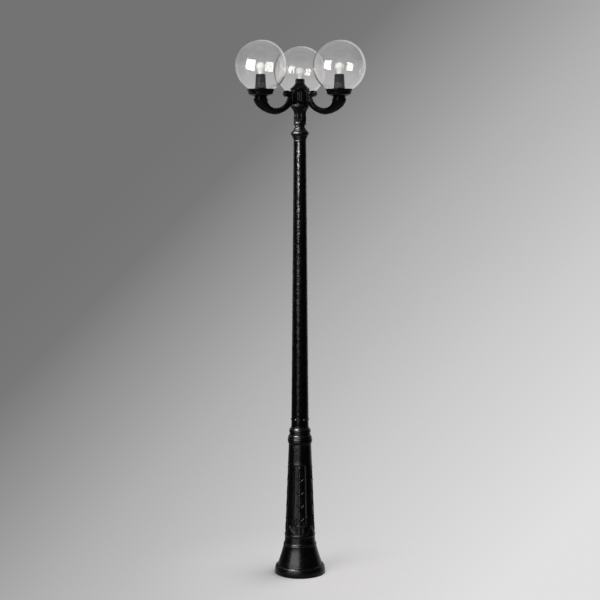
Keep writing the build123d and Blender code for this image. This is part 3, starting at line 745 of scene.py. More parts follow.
def facets(sides, face, height, relief, marks):
    """A ring of points on a many-sided wall. Marks are places across a face, relief is how far the wall
    stands out there, and the corners are eased."""
    half = face * math.tan(math.pi / sides) - corner_ease
    across = [-half] + [mark for mark in marks if abs(mark) < half - 0.0003] + [half]
    spare = len(marks) + 2 - len(across)
    across += [half] * spare
    points = []
    for side in range(sides):
        turn = 2 * math.pi * side / sides
        for offset in across:
            out = face + relief(side, offset, height)
            points.append((out * math.sin(turn) + offset * math.cos(turn),
                           -out * math.cos(turn) + offset * math.sin(turn), height))
    return points


def neck():
    stem_low, stem_high, flare_high = knop_top + 0.024, knop_top + 0.050, neck_top - 0.016
    shares = (-1.15, -1.08, -1.0, -0.92, -0.85, -0.3, 0.3, 0.85, 0.92, 1.0, 1.08, 1.15)
    marks = [flute_half * share for share in shares]

    def flute(side, offset, height):
        ends = softly((height - stem_low - flute_margin) / flute_slope)
        ends *= softly((flare_high - flute_margin - height) / flute_slope)
        return -flute_depth * ends * softly((1.15 - abs(offset) / flute_half) / 0.30)

    flare = bowed((neck_face, stem_high), (neck_flare, flare_high), -0.28)
    wall = [Vector((neck_face, height)) for height in steps(stem_low, stem_high, 12)] + flare
    wall = [point for pair in zip(wall, wall[1:]) for point in (pair[0], (pair[0] + pair[1]) / 2)] + wall[-1:]
    rings = [facets(neck_sides, point.x, point.y, flute, marks) for point in wall]
    angles = [math.atan2(point[0], -point[1]) for point in rings[0]]
    foot = outline((bore, knop_top), (0.0240, knop_top), (0.0240, knop_top + 0.0010),
                   (0.0256, knop_top + 0.0036, 0.45), (0.0248, knop_top + 0.0052),
                   (0.0310, knop_top + 0.0105, -0.20), (0.0314, knop_top + 0.0122, 0.30),
                   (0.0284, stem_low - 0.0004, 0.14), (bore, stem_low - 0.0004))[1:-2]
    head = outline((bore, flare_high), (0.0432, flare_high), (0.0438, flare_high + 0.0022),
                   (neck_ring, flare_high + 0.0085, 0.30), (0.0432, neck_top - 0.0012, 0.30),
                   (0.0410, neck_top), (bore, neck_top))
    rows = [circle(*point, angles) for point in foot] + rings
    rows += [circle(*point, angles) for point in head[1:]]
    rows.append(circle(bore, knop_top, angles))
    return skin(rows)


show("fluted_neck", neck(), black_resin, "post", "black_resin", "neck", crease=24)


# Hub: a six-sided box of black resin. Three faces take the arms and three have a sunk tablet of reeds. The
# pipe comes up through its floor, and the leads join in the terminal block inside.

hub_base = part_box("hub")[0].z
hub_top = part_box("hub")[1].z
hub_face = 0.040
hub_cavity = 0.033
hub_deck = hub_base + 0.014
tablet_half = 0.0125
tablet_margin = 0.009
tablet_slope = 0.002
tablet_depth = 0.0016
reed_height = 0.0013


def hub():
    low = hub_base + 0.006
    marks = [tablet_half * index / 15 for index in range(-16, 17)]

    def tablet(side, offset, height):
        if side % 2:
            return 0
        ends = softly((height - low - tablet_margin) / tablet_slope)
        ends *= softly((hub_top - tablet_margin - height) / tablet_slope)
        reed = abs(math.cos(1.5 * math.pi * offset / tablet_half))
        relief = reed_height * reed - tablet_depth
        return relief * ends * softly((1.06 - abs(offset) / tablet_half) / 0.12)

    plain, full = 0.0085, 0.018
    heights = (steps(low, low + plain, 2) + steps(low + plain, low + 0.0173, 10)
               + steps(low + full, hub_top - full, 4) + steps(hub_top - full, hub_top - plain, 10)
               + [hub_top - plain, hub_top - 0.0008])
    rings = [facets(6, hub_face - 0.0010, low, tablet, marks)]
    rings += [facets(6, hub_face, max(height, low + 0.0010), tablet, marks) for height in heights]
    rings.append(facets(6, hub_face - 0.0008, hub_top, tablet, marks))
    angles = [math.atan2(point[0], -point[1]) for point in rings[1]]
    inside = [(hub_cavity, hub_top), (hub_cavity, hub_deck), (bore, hub_deck),
              (bore, hub_base), (0.0402, hub_base), (0.0410, hub_base + 0.0008),
              (0.0410, low - 0.0006), (0.0398, low)]
    return skin(rings + [circle(*point, angles) for point in inside])


show("hub_box", hub(), black_resin, "post", "black_resin", "hub", crease=24)
nylon = clouded("terminal_nylon", (0.66, 0.65, 0.60), (0.75, 0.74, 0.70), cloud=90,
                sheen=(0.4, 0.55), patches=200, pits=1200, depth=0.00004)
dress(nylon, "terminal_block")
dress(screw_steel, "arm_bolts")


# Hub cap: a black resin roof with a round eave and eight leaves laid down its hollow slope from a low crown.
# Its spigot presses into the hub.

cap_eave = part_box("hub_cap")[1].x
cap_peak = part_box("hub_cap")[1].z
cap_crown = 0.021
cap_leaves = 8
cap_slope = bowed((cap_crown, cap_peak - 0.006), (cap_eave - 0.0006, hub_top + 0.0044), 0.22)


def on_cap(across, down, out):
    """A point on the cap's slope, that share of the way down from the crown."""
    place_on = max(0.0, min(1.0, down)) * (len(cap_slope) - 1)
    index = min(len(cap_slope) - 2, int(place_on))
    start, end = cap_slope[index], cap_slope[index + 1]
    spot = start + (end - start) * (place_on - index)
    run = (end - start).normalized()
    return circle(spot.x - run.y * out, spot.y + run.x * out, [across / spot.x])[0]


def hub_cap():
    spigot = hub_cavity - slip
    roof = turned(outline(
        (spigot - 0.004, hub_top - 0.008), (spigot, hub_top - 0.008), (spigot, hub_top),
        (cap_eave - 0.001, hub_top), (cap_eave, hub_top + 0.001), (cap_eave, hub_top + 0.0034),
        (cap_eave - 0.0006, hub_top + 0.0044),
        (cap_crown, cap_peak - 0.006, -0.22), (cap_crown - 0.0012, cap_peak - 0.0045),
        (cap_crown - 0.0010, cap_peak - 0.0030, 0.4), (0.0165, cap_peak - 0.0014), (0, cap_peak, 0.05),
        (0, cap_peak - 0.010), (cap_crown - 0.004, cap_peak - 0.010), (spigot - 0.004, hub_top, 0.2)), 96)
    reach = 2 * math.pi * cap_crown / cap_leaves
    rings = leaf(((0, 0.02), (0, 0.5), (0, 0.97)), 1.0, 0.0034, lobes=3, lift=0.0012, sink=0.0008)
    rings = [[(across * reach * (0.45 + 0.55 * down), down, out) for across, down, out in ring]
             for ring in rings]
    one = laid(rings, on_cap)
    return join(roof, repeated(one, cap_leaves, black_resin))


show("leafy_cap", hub_cap(), black_resin, "post", "black_resin", "hub_cap")


# Scroll arms: black resin castings. A volute curls outwards at the hub, and the round bar bows down and out
# from it and swells into a leafy horn under the cup. A pad with two hidden bolts holds each arm to its face
# of the hub.

arm_turns = {"front_left": 210, "front_right": 330, "rear": 90}
arm_reach = 0.2142
bow_radius = 0.0885
bow_middle = Vector((arm_reach - 0.0802, hub_base + 0.056))
bow_start = math.radians(-150)
bow_bottom = math.radians(-90)
bow_end = math.radians(-27.6)
bow_overrun = math.radians(15)
bar_radius = 0.014
horn_flare = 0.019
cup_seat = bow_middle.y - 0.043
scroll_eye = Vector((hub_face + 0.0335, hub_base + 0.050))
scroll_radius = 0.0155
scroll_half = 0.0136
scroll_top = math.radians(110)
scroll_root = math.radians(-168)
root_half = 0.0128
pad_low = hub_base + 0.009
pad_high = hub_base + 0.060
pad_half = 0.016
pad_thickness = 0.011
groove_pitch = 0.0050
groove_half = 0.0011
groove_depth = 0.0016


def bow_point(angle, radius=bow_radius):
    return bow_middle + radius * Vector((math.cos(angle), math.sin(angle)))


def horn_radius(angle):
    share = max(0.0, (angle - bow_bottom) / (bow_end - bow_bottom))
    return bar_radius + horn_flare * share ** 2


def arm_section(angle, count=36):
    """A ring of points round the bar: nearly square at the root, round from the bow on."""
    heading = Vector((-math.sin(angle), math.cos(angle)))
    away = Vector((math.cos(angle), math.sin(angle)))
    round_share = softly((angle - bow_start + math.radians(4)) / math.radians(26))
    power = 2 / (5 - 3 * round_share)
    radius = horn_radius(min(angle, bow_end))
    wide = root_half + (radius - root_half) * round_share
    ring = []
    for turn in even_turn(count):
        across = radius * math.copysign(abs(math.cos(turn)) ** power, math.cos(turn))
        aside = wide * math.copysign(abs(math.sin(turn)) ** power, math.sin(turn))
        spot = bow_point(angle) + away * across
        ring.append(Vector((spot.x, aside, spot.y)))
    rise = Vector((heading.x, 0, heading.y))
    if bow_point(angle).x < bow_middle.x:
        return ring
    return [point - rise * ((point.z - cup_seat) / rise.z) if point.z > cup_seat else point for point in ring]


def arm_bar():
    """The bar from its root along the bow into the horn, cut off level under the cup."""
    first, last = bow_start - math.radians(8), bow_end + bow_overrun
    return skin([arm_section(angle) for angle in steps(first, last, 76) + [last]], loop=False)


def inset(points, by):
    """A closed flat outline drawn in by a small amount."""
    drawn = []
    for index, point in enumerate(points):
        run = points[(index + 1) % len(points)] - points[index - 1]
        drawn.append(point + by * Vector((-run.y, run.x)).normalized())
    return drawn


def slab(points, half, ease):
    """A flat outline in the arm's plane given a thickness, with rounded edges."""
    rings = []
    for share in (0, 0.3, 0.7, 1):
        turn = share * math.pi / 2
        ring = inset(points, ease * (1 - math.sin(turn)))
        rings.append([(point.x, -half + ease * (1 - math.cos(turn)), point.y) for point in ring])
    rings += [[(x, -y, z) for x, y, z in ring] for ring in rings[::-1]]
    return skin(rings, loop=False)


def arm_root():
    """The web between the pad, the scroll and the bow."""
    root = bow_point(scroll_root, bow_radius - bar_radius)
    top = scroll_eye + (scroll_radius - 0.001) * Vector((math.cos(scroll_top), math.sin(scroll_top)))
    toward_root = math.atan2(root.y - scroll_eye.y, root.x - scroll_eye.x)
    return slab(outline(
        (hub_face, pad_low), bow_point(bow_start, bow_radius + bar_radius - 0.001),
        bow_point(bow_start, bow_radius - bar_radius + 0.001),
        (*root, -math.tan((bow_start - scroll_root) / 4)), (*top, math.tan((scroll_top - toward_root) / 4)),
        (hub_face, pad_high, -0.08)), root_half, 0.0020)


def spiral_gap(angle, radius):
    """How far a spot on the scroll's cheek lies from the spiral groove that winds in to the eye."""
    start = scroll_radius - 0.0030
    wound = (math.pi - angle) % (2 * math.pi) / (2 * math.pi)
    turns = [start - groove_pitch * (wound + lap) for lap in (0, 1)]
    return min(abs(radius - turn) for turn in turns if turn > 0.0048)


def scroll_disc():
    """The scroll: a thick disc with a rounded rim, a spiral groove in both cheeks and a button at its eye."""
    rim = 0.0030
    angles = even_turn(96)
    half = []
    for radius, rise in ((0, 1.5), (0.0022, 1.35), (0.0036, 0.9), (0.0044, 0.2), (0.0046, 0)):
        half.append([(radius, scroll_half + rise * 0.001)] * len(angles))
    for radius in steps(0.0050, scroll_radius - rim, 22):
        sunk = [softly((1.6 - spiral_gap(angle, radius) / groove_half) / 1.2) for angle in angles]
        half.append([(radius, scroll_half - groove_depth * share) for share in sunk])
    for tilt in (90, 70, 45, 20, 0):
        half.append([(scroll_radius - rim + rim * math.cos(math.radians(tilt)),
                      scroll_half - rim + rim * math.sin(math.radians(tilt)))] * len(angles))
    rings = []
    for side, rows in ((-1, half), (1, half[::-1])):
        for row in rows:
            rings.append([(scroll_eye.x + radius * math.cos(angle), side * reach,
                           scroll_eye.y + radius * math.sin(angle))
                          for angle, (radius, reach) in zip(angles, row)])
    return skin(rings)


def arm_pad():
    """The plate that the bolts draw against the hub's face, with rounded edges."""
    shape = bmesh.new()
    bmesh.ops.create_cube(shape, size=1)
    for vertex in shape.verts:
        vertex.co.x = hub_face + pad_thickness * (vertex.co.x + 0.5)
        vertex.co.y *= 2 * pad_half
        vertex.co.z = pad_low + (pad_high - pad_low) * (vertex.co.z + 0.5)
    bmesh.ops.bevel(shape, geom=shape.edges[:], offset=0.0034, segments=4, affect="EDGES", profile=0.5)
    return shape


def on_horn(across, angle, out):
    """A point on the horn: across is an angle round the bar from its outer side, angle is along the bow."""
    spot = bow_point(angle)
    away = Vector((math.cos(angle), math.sin(angle)))
    radius = horn_radius(angle) + out
    flat = spot + away * (radius * math.cos(across))
    point = Vector((flat.x, radius * math.sin(across), flat.y))
    if point.z > cup_seat - 0.0004:
        point.z = cup_seat - 0.0004
    return point


def horn_leaves():
    """Three leaves that clasp the horn, tips towards the cup."""
    first, tip = bow_bottom - math.radians(16), bow_end - math.radians(3)
    shapes = []
    for turn in (-82, 0, 82):
        rings = leaf(((0, 0), (0, 0.5), (0, 1)), 0.62, 0.0034, lobes=4, lift=0.0014, along=30)
        placed = [[(math.radians(turn) + across, first + (tip - first) * along, out)
                   for across, along, out in ring] for ring in rings]
        shapes.append(laid(placed, on_horn))
    return join(*shapes)


for side, turn in arm_turns.items():
    arm = join(arm_bar(), arm_root(), scroll_disc(), arm_pad(), horn_leaves())
    show("scroll_arm_" + side, swung(arm, turn), black_resin, "post", "black_resin", "arm_" + side)


# Leads: round cables in a black rubber sheath. They run from the terminal block in the hub through the
# channel in each arm to the lamp holder.


def rubber(name, dark, light):
    return clouded(name, dark, light, cloud=120, sheen=(0.55, 0.75), patches=240, pits=900, depth=0.00006)


dress(rubber("lead_sheath", (0.014, 0.014, 0.014), (0.03, 0.03, 0.03)), "arm_leads")


# Cups: black resin dishes with a turned profile, a bead at the foot, a bowl and a thin flared rim. Each seats
# by a spigot in its arm, and three tabs inside catch the lugs of the globe's neck. A rubber ring lies on the
# floor under the neck.

cup_floor = cup_seat + 0.037
cup_rim = cup_seat + 0.0535
cup_rim_radius = 0.0634
cup_well = 0.053
nipple_hole = 0.0052
tab_base = cup_floor + 0.0066


def sector(inner, outer, low, high, first, last):
    """A piece of a ring between two angles, with eased upper edges."""
    count = 12
    rings = []
    ease = 0.0005
    for index in range(count + 1):
        turn = math.radians(first + (last - first) * index / count)
        rings.append([(radius * math.cos(turn), radius * math.sin(turn), height) for radius, height in (
            (inner, low), (outer, low), (outer, high), (inner + ease, high), (inner, high - ease))])
    return skin(rings, loop=False)


def cup():
    bead, waist = cup_seat + 0.012, cup_seat + 0.019
    bowl = cup_seat + 0.039
    body = turned(outline(
        (0.011, cup_seat - 0.008), (0.0146, cup_seat - 0.008), (0.0146, cup_seat), (0.0306, cup_seat),
        (0.0344, cup_seat + 0.004, 0.3), (0.0306, bead, 0.3), (0.0300, bead + 0.0020), (0.0306, waist),
        (0.0500, bowl - 0.0125, 0.10), (0.0582, bowl - 0.0030, 0.40), (0.0588, bowl), (0.0596, bowl + 0.0012),
        (cup_rim_radius, cup_rim - 0.0012, 0.08), (cup_rim_radius - 0.0002, cup_rim),
        (cup_rim_radius - 0.0018, cup_rim), (cup_well, cup_rim - 0.0072), (cup_well, cup_floor),
        (nipple_hole, cup_floor), (nipple_hole, bead), (0.011, cup_seat)), 120)
    tab = sector(cup_well - 0.003, cup_well + 0.0009, tab_base, tab_base + 0.0028, -12, 12)
    stop = sector(cup_well - 0.003, cup_well + 0.0009, cup_floor + 0.0028, tab_base + 0.0028, -18, -14)
    return join(body, repeated(join(tab, stop), 3, black_resin))


def out_to(shape, side):
    """A shape made on the post's axis, moved out to the axis of one of the cups."""
    bmesh.ops.translate(shape, verts=shape.verts, vec=(arm_reach, 0, 0))
    return swung(shape, arm_turns[side])


for side in arm_turns:
    show("globe_cup_" + side, out_to(cup(), side), black_resin, "post", "black_resin", "cup_" + side)

seal = rubber("seal_rubber", (0.020, 0.020, 0.021), (0.045, 0.045, 0.046))
dress(seal, *["gasket_" + side for side in arm_turns])


# Lamp holders: charcoal plastic sleeves with two ring grooves and a rolled top, each clamped to its cup by a
# hollow threaded nipple that carries the phenolic screw socket inside.

tower_height = 0.0876
tower_top = cup_floor + tower_height
tower_low_radius = 0.0274
tower_high_radius = 0.0226


def tower():
    def wall(rise, sunk=0.0):
        share = rise / tower_height
        return (tower_low_radius + share * (tower_high_radius - tower_low_radius) - sunk, cup_floor + rise)

    grooves = []
    for rise in (0.034, 0.049):
        grooves += [wall(rise), wall(rise + 0.0004, 0.0010), wall(rise + 0.0026, 0.0010), wall(rise + 0.0030)]
    lip = tower_top - 0.0034
    return turned(outline(
        (nipple_hole, cup_floor), (tower_low_radius + 0.0012, cup_floor),
        (tower_low_radius + 0.0012, cup_floor + 0.0200), (wall(0.0215)[0], cup_floor + 0.0215), *grooves,
        wall(0.0700), wall(0.0704, 0.0006), wall(0.0716, 0.0006), wall(0.0720),
        (tower_high_radius, lip), (tower_high_radius - 0.0034, tower_top, 0.41), (0.0150, tower_top),
        (0.0150, lip), (0.0180, lip), (0.0240, cup_floor + 0.0205), (0.0240, cup_floor + 0.004),
        (nipple_hole, cup_floor + 0.004), edge=0.0005), 96)


charcoal = clouded("holder_charcoal", (0.0045, 0.0046, 0.0068), (0.0085, 0.0087, 0.0120), cloud=60,
                   sheen=(0.34, 0.46), patches=140, pits=1100, depth=0.00005, Specular_IOR_Level=0.15)
phenolic = clouded("socket_phenolic", (0.012, 0.010, 0.009), (0.050, 0.038, 0.030), cloud=420, detail=6.0,
                   sheen=(0.3, 0.45), patches=200, pits=1000, depth=0.00004)
for side in arm_turns:
    show("lamp_holder_" + side, out_to(tower(), side), charcoal,
         "post", "holder_charcoal", "lamp_tower_" + side)
dress(phenolic, *["lamp_socket_" + side for side in arm_turns])
dress(zinc, *["nipple_" + side for side in arm_turns])


# Bulbs: thin balls of blown opal glass on screw caps of spun aluminium. They screw down into the sockets and
# turn with their caps.

bulb_radius = 0.0225
bulb_middle = tower_top + 0.034
bulb_neck = 0.012
bulb_wall = 0.0009
cap_top = tower_top - 0.0038
bulb_foot = cap_top - 0.0048


def spun_aluminium():
    made, tree, shader = new_finish("spun_aluminium")
    rings = grain(tree, 60, 4.0, (1, 1, 40))
    tree.links.new(between(tree, rings, (0.55, 0.55, 0.56), (0.80, 0.80, 0.81)), shader.inputs["Base Color"])
    tree.links.new(spread(tree, rings, 0.25, 0.42), shader.inputs["Roughness"])
    set_inputs(shader, Metallic=1.0)
    raise_by(tree, shader, rings, 0.00006)
    return made


def ball(radius, middle, lowest, count):
    """Half the outline of a ball, from its top down to an angle."""
    top = math.radians(90)
    points = []
    for index in range(count + 1):
        angle = top + (lowest - top) * index / count
        points.append(Vector((max(0.0, radius * math.cos(angle)), middle + radius * math.sin(angle))))
    return points


def bulb():
    """A ball that runs down into a neck, blown thin all over."""
    waist = math.radians(-36)
    outer, inner = [ball(radius, bulb_middle, waist, 24) for radius in (bulb_radius, bulb_radius - bulb_wall)]
    neck_high = cap_top + 0.0057

    def throat(start, radius):
        end, knee = Vector((radius, neck_high)), Vector((radius + 0.0008, neck_high + 0.008))
        return [start * (1 - s) ** 2 + knee * 2 * s * (1 - s) + end * s * s for s in (0.2, 0.4, 0.6, 0.8, 1)]

    points = outer + throat(outer[-1], bulb_neck) + [Vector((bulb_neck, bulb_foot))]
    points.append(Vector((bulb_neck - bulb_wall, bulb_foot)))
    points += throat(inner[-1], bulb_neck - bulb_wall)[::-1] + inner[::-1]
    return turned(points, 72)


opal = clouded("opal_glass", (0.83, 0.820, 0.805), (0.87, 0.860, 0.85), cloud=30,
               sheen=(0.16, 0.24), patches=90, pits=120, depth=0.00005,
               Subsurface_Weight=0.35, Subsurface_Radius=(0.010, 0.009, 0.008),
               Coat_Weight=0.4, Coat_Roughness=0.05)
aluminium = spun_aluminium()
for side in arm_turns:
    show("opal_bulb_" + side, out_to(bulb(), side), opal, side + "_bulb", "opal_glass", "bulb_glass_" + side)
    dress(aluminium, "bulb_cap_" + side)


# Globes: clear acrylic blown in one piece, three millimetres thick, with a short neck. Three lugs on the neck
# turn under the tabs of the cup.

globe_radius = 0.125
globe_wall = 0.003
globe_neck = 0.049
globe_foot = cup_floor + 0.0028
globe_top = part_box("globe_rear")[1].z
globe_middle = globe_top - globe_radius
lug_height = 0.0034
lug_reach = 0.0028


def clear_by(tree, shader, share, tint):
    """Lets light pass straight through a finish by a share."""
    clear = add(tree, "ShaderNodeBsdfTransparent", Color=tint)
    mix = tree.nodes.new("ShaderNodeMixShader")
    tree.links.new(share, mix.inputs["Fac"])
    tree.links.new(shader.outputs["BSDF"], mix.inputs[1])
    tree.links.new(clear.outputs["BSDF"], mix.inputs[2])
    tree.links.new(mix.outputs["Shader"], tree.nodes["Material Output"].inputs["Surface"])


def clear_acrylic():
    """Clear acrylic with faint waves. Lamp light passes it without a shadow."""
    made, tree, shader = new_finish("clear_acrylic")
    set_inputs(shader, Base_Color=(0.985, 0.985, 0.980, 1), Transmission_Weight=1.0, IOR=1.49, Roughness=0.0)
    raise_by(tree, shader, grain(tree, 16, 1.0), 0.000012)
    path = tree.nodes.new("ShaderNodeLightPath")
    clear_by(tree, shader, path.outputs["Is Shadow Ray"], (0.94, 0.94, 0.935, 1))
    return made


def globe():
    def wall(radius, neck):
        return ball(radius, globe_middle, -math.acos(neck / radius), 64)

    outer = wall(globe_radius, globe_neck)
    inner = wall(globe_radius - globe_wall, globe_neck - globe_wall)
    rim = [Vector((globe_neck, globe_foot)), Vector((globe_neck - globe_wall, globe_foot))]
    body = turned(outer + rim + inner[::-1], 144)
    lug = sector(globe_neck - globe_wall / 2, globe_neck + lug_reach,
                 globe_foot, globe_foot + lug_height, -12, 12)
    return join(body, repeated(lug, 3, acrylic))


acrylic = clear_acrylic()
for side in arm_turns:
    show("clear_globe_" + side, out_to(globe(), side), acrylic,
         side + "_globe", "clear_globe", "globe_" + side)


# Studio: a pale floor that fades out, a backdrop behind the object that lightens to the lower right, one soft
# box that the globes mirror, cards for their rims, lamps for the bulbs, the floor and the resin, and the
# camera where the photograph was taken from.

floor_radius = 0.85
fade_start = 0.13
fade_end = 0.98 * floor_radius
floor_pale = (0.80, 0.79, 0.795)
studio_pale = (0.66, 0.66 * 0.985, 0.66 * 0.992, 1)
globe_core = Vector((0, 0, globe_middle))
camera_spot = Vector((0, -6.600, 1.9447))
camera_dip = 5.155


def in_studio(name, shape, finish):
    """A mesh object that belongs to the studio."""
    made = put(name, as_mesh(name, shape))
    made.data.materials.append(finish)
    return made


def studio_floor():
    made, tree, shader = new_finish("floor_paper")
    set_inputs(shader, Base_Color=(*floor_pale, 1), Roughness=0.9, Specular_IOR_Level=0.1)
    coordinates = tree.nodes.new("ShaderNodeTexCoord")
    length = vector_math(tree, "LENGTH", coordinates.outputs["Object"])
    fade = spread(tree, length.outputs["Value"], 0.0, 1.0, fade_start, fade_end)
    fade.node.interpolation_type = "SMOOTHSTEP"
    clear_by(tree, shader, fade, (1, 1, 1, 1))
    return made


disc = bmesh.new()
bmesh.ops.create_circle(disc, cap_ends=True, segments=96, radius=floor_radius)
bmesh.ops.translate(disc, verts=disc.verts, vec=(0, 0, -0.0002))
in_studio("floor", disc, studio_floor())


def greys(tree, value, *stops):
    """A value turned into a grey by stops of place and brightness."""
    ramp = tree.nodes.new("ShaderNodeValToRGB")
    elements = ramp.color_ramp.elements
    while len(elements) < len(stops):
        elements.new(0.5)
    for element, (position, brightness) in zip(elements, stops):
        element.position = position
        element.color = (brightness, brightness * 0.985, brightness * 0.992, 1)
    tree.links.new(value, ramp.inputs["Fac"])
    return ramp.outputs["Color"]


def studio_world():
    """For the camera the backdrop's gradient behind the object and a plain pale studio elsewhere; for sight
    through the globes, greys of painted haze, lighter the lower the sight runs and lighter again through two
    globes; and a dim room with a pale floor and ceiling for reflections."""
    world = bpy.data.worlds.new("studio")
    world.use_nodes = True
    tree = world.node_tree
    direction = tree.nodes.new("ShaderNodeTexCoord")

    def toward(vector, start, end):
        dot = vector_math(tree, "DOT_PRODUCT", direction.outputs["Generated"], vector)
        return spread(tree, dot.outputs["Value"], 0.0, 1.0, start, end)

    def blend(share, first, second):
        mix = tree.nodes.new("ShaderNodeMix")
        mix.data_type = "RGBA"
        tree.links.new(share, mix.inputs[0])
        if isinstance(first, tuple):
            mix.inputs[6].default_value = first
        else:
            tree.links.new(first, mix.inputs[6])
        tree.links.new(second, mix.inputs[7])
        return mix.outputs[2]

    slope = toward((1, 0, -1), -0.12, 0.50)
    backdrop = greys(tree, slope, (0, 0.175), (0.10, 0.190), (0.37, 0.436), (0.62, 0.610), (0.90, 0.765))
    rise = toward((0, 0, 1), -0.10, 0.20)
    # Painted haze: sight straight through a globe gets a grey that is lighter the lower it runs, in place of
    # light in the acrylic.
    through = greys(tree, rise, (0, 0.62), (0.50, 0.50), (0.60, 0.45), (0.65, 0.345), (0.80, 0.30))
    # Painted haze: sight through two globes gets a lighter grey still.
    haze_painted_two_globes = greys(tree, rise, (0, 0.86), (0.50, 0.76), (0.60, 0.72), (0.65, 0.62), (0.80, 0.56))
    room = greys(tree, toward((0, 0, 1), -1, 1),
                 (0, 0.30), (0.22, 0.26), (0.36, 0.04), (0.66, 0.03), (0.82, 0.30))
    path = tree.nodes.new("ShaderNodeLightPath")
    bounces = reckon(tree, "ADD", path.outputs["Glossy Depth"], path.outputs["Diffuse Depth"])
    straight = reckon(tree, "LESS_THAN", bounces, 0.5)
    colour = blend(toward((0, 1, 0), 0.3, 0.7), room, backdrop)
    two_globes = reckon(tree, "GREATER_THAN", path.outputs["Transmission Depth"], 5.5)
    haze_painted_through = blend(two_globes, through, haze_painted_two_globes)
    through_glass = reckon(tree, "MULTIPLY", straight, path.outputs["Is Transmission Ray"])
    colour = blend(through_glass, colour, haze_painted_through)
    behind = toward((0, 1, 0), 0.84, 0.925)
    seen = blend(behind, studio_pale, backdrop)
    colour = blend(path.outputs["Is Camera Ray"], colour, seen)
    tree.links.new(colour, tree.nodes["Background"].inputs["Color"])
    return world


bpy.context.scene.world = studio_world()


def mirrored_at(side, across, rise, distance):
    """The spot that a globe mirrors at a place on its disc, which is given in shares of its radius."""
    middle = about_post(arm_turns[side]) @ Vector((arm_reach, 0, globe_middle))
    toward = (camera_spot - middle).normalized()
    right = Vector((0, 0, 1)).cross(toward).normalized()
    normal = across * right + rise * toward.cross(right) + math.sqrt(1 - across ** 2 - rise ** 2) * toward
    onward = 2 * normal.dot(toward) * normal - toward
    lean = globe_radius * normal.dot(onward)
    reach = math.sqrt(lean ** 2 + distance ** 2 - globe_radius ** 2) - lean
    return middle + globe_radius * normal + reach * onward


def shines_only_on(light, names):
    """Keeps a light to some of the pieces."""
    lit = bpy.data.collections.new(light.name + "_lit")
    for name in names:
        lit.objects.link(bpy.data.objects[name])
    light.light_linking.receiver_collection = lit


def shines_past(light, names):
    """Keeps a light off some of the pieces."""
    shines_only_on(light, names)
    for piece in light.light_linking.receiver_collection.collection_objects:
        piece.light_linking.link_state = "EXCLUDE"


def mirrored_glow(name, strength):
    """A glow that shows only where something mirrors it."""
    made, tree, _ = new_finish(name)
    glow = tree.nodes.new("ShaderNodeEmission")
    clear = tree.nodes.new("ShaderNodeBsdfTransparent")
    both = tree.nodes.new("ShaderNodeAddShader")
    path = tree.nodes.new("ShaderNodeLightPath")
    share = reckon(tree, "MINIMUM", path.outputs["Glossy Depth"], 1.0)
    tree.links.new(reckon(tree, "MULTIPLY", share, strength), glow.inputs["Strength"])
    tree.links.new(glow.outputs["Emission"], both.inputs[0])
    tree.links.new(clear.outputs["BSDF"], both.inputs[1])
    tree.links.new(both.outputs["Shader"], tree.nodes["Material Output"].inputs["Surface"])
    return made


def card(name, glow, side, distance, places, mirrors):
    """A card, cut so that one globe mirrors it at these pairs of places, and seen only in its mirrors."""
    cloth = bmesh.new()
    rows = [[cloth.verts.new(mirrored_at(side, *spot, distance)) for spot in pair] for pair in places]
    for (low, high), (next_low, next_high) in zip(rows, rows[1:]):
        cloth.faces.new((low, next_low, next_high, high))
    made = in_studio(name, cloth, glow)
    made.visible_camera = made.visible_diffuse = made.visible_shadow = False
    shines_only_on(made, mirrors)


globes = ["clear_globe_" + side for side in arm_turns]
rim_card = mirrored_glow("rim_card", 0.5)
rim_distance = 4.0
rim_share = 0.950
rim_edge = []
for step in range(13):
    turn = math.radians(-10 + 8 * step)
    half = 0.0005 + 0.040 * math.sin(math.pi * step / 12)
    rim_edge.append([(share * math.sin(turn), share * math.cos(turn))
                     for share in (rim_share - half, rim_share + half)])
for side in arm_turns:
    card("rim_card_" + side, rim_card, side, rim_distance, rim_edge, ["clear_globe_" + side])
box_cloth = mirrored_glow("soft_box_cloth", 10.0)
box_distance = 1.2
box_corners = [((-0.490, 0.262), (-0.556, -0.112)), ((-0.172, 0.214), (-0.222, -0.190))]
card("soft_box", box_cloth, "front_left", box_distance, box_corners, globes)


def lamp(name, spot, aim, width, height, power):
    """A rectangular lamp, aimed at a spot."""
    light = bpy.data.lights.new(name, "AREA")
    light.shape = "RECTANGLE"
    light.size, light.size_y = width, height
    light.energy = power
    made = put(name, light)
    made.location = spot
    made.rotation_euler = (Vector(aim) - Vector(spot)).to_track_quat("-Z", "Y").to_euler()
    return made


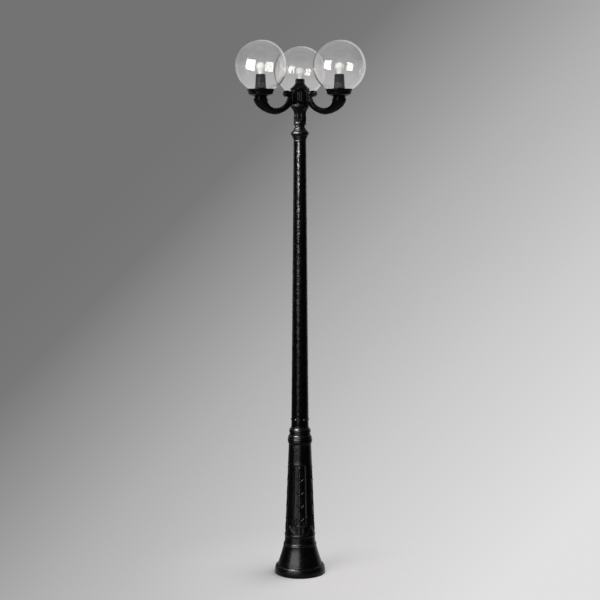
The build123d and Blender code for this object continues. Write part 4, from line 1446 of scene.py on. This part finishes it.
key = lamp("key_lamp", (-1.7, -2.0, 3.2), globe_core, 1.8, 1.8, 44)
fill = lamp("fill_lamp", (1.8, -1.9, 2.9), globe_core, 1.8, 1.8, 20)
bulb_lamp = lamp("bulb_lamp", (-0.4, -2.8, 3.0), globe_core, 1.8, 1.8, 60)
key.visible_glossy = fill.visible_glossy = bulb_lamp.visible_glossy = False
shines_only_on(bulb_lamp, [kind + side for kind in ("opal_bulb_", "lamp_holder_") for side in arm_turns])
shines_past(key, globes)
shines_past(fill, globes)
shines_only_on(lamp("floor_lamp", (2.4, 0.8, 4.0), (0, 0, 0), 4.0, 4.0, 118), ["floor"])
turnings = ["pedestal_moulding", "collar_ring", "column_screw_heads", "knop_turning"]
head = [kind + side for kind in ("scroll_arm_", "globe_cup_") for side in arm_turns]
head += ["fluted_neck", "hub_box", "leafy_cap"]
all_resin = turnings + head + ["column_tube"]
resin_lamps = [
    (lamp("column_strip", (-1.22, -2.30, 2.50), (0, 0, 2.50), 0.42, 1.2, 225), ["column_tube"]),
    (lamp("column_low_strip", (-1.22, -2.30, 1.05), (0, 0, 1.05), 0.42, 1.7, 23), ["column_tube"]),
    (lamp("ceiling_box", (-1.82, -0.85, 4.39), (0, 0, 1.40), 1.4, 1.4, 850), turnings[:-1]),
    (lamp("crown_box", (-1.82, -0.85, 4.39), (0, 0, 2.20), 2.0, 2.0, 2600), ["knop_turning", "fluted_neck"]),
    (lamp("turning_box", (-1.55, -2.57, 1.90), (0, 0, 1.50), 3.0, 2.6, 300), turnings),
    (lamp("low_box", (-1.55, -2.57, -0.45), (0, 0, 0.30), 3.0, 1.0, 38), turnings),
    (lamp("head_box", (-1.55, -2.57, 2.60), (0, 0, 2.30), 1.0, 1.4, 45), head),
    (lamp("rear_left_box", (-2.2, 1.5, 1.90), (0, 0, 1.50), 0.5, 2.6, 5), all_resin),
    (lamp("rear_right_box", (1.6, 2.2, 1.90), (0, 0, 1.50), 0.5, 2.6, 5), all_resin)]
for light, pieces in resin_lamps:
    light.visible_diffuse = light.visible_transmission = False
    light.data.use_shadow = light.name not in ("ceiling_box", "crown_box")
    shines_only_on(light, pieces)

photo_focal = 1363.6
photo_side = 600
lens = bpy.data.cameras.new("camera")
lens.sensor_width = 36
lens.lens = photo_focal * lens.sensor_width / photo_side
camera = put("camera", lens)
camera.location = camera_spot
camera.rotation_euler = (math.radians(90 - camera_dip), 0, 0)
bpy.context.scene.camera = camera
bpy.context.scene.view_settings.view_transform = "Standard"
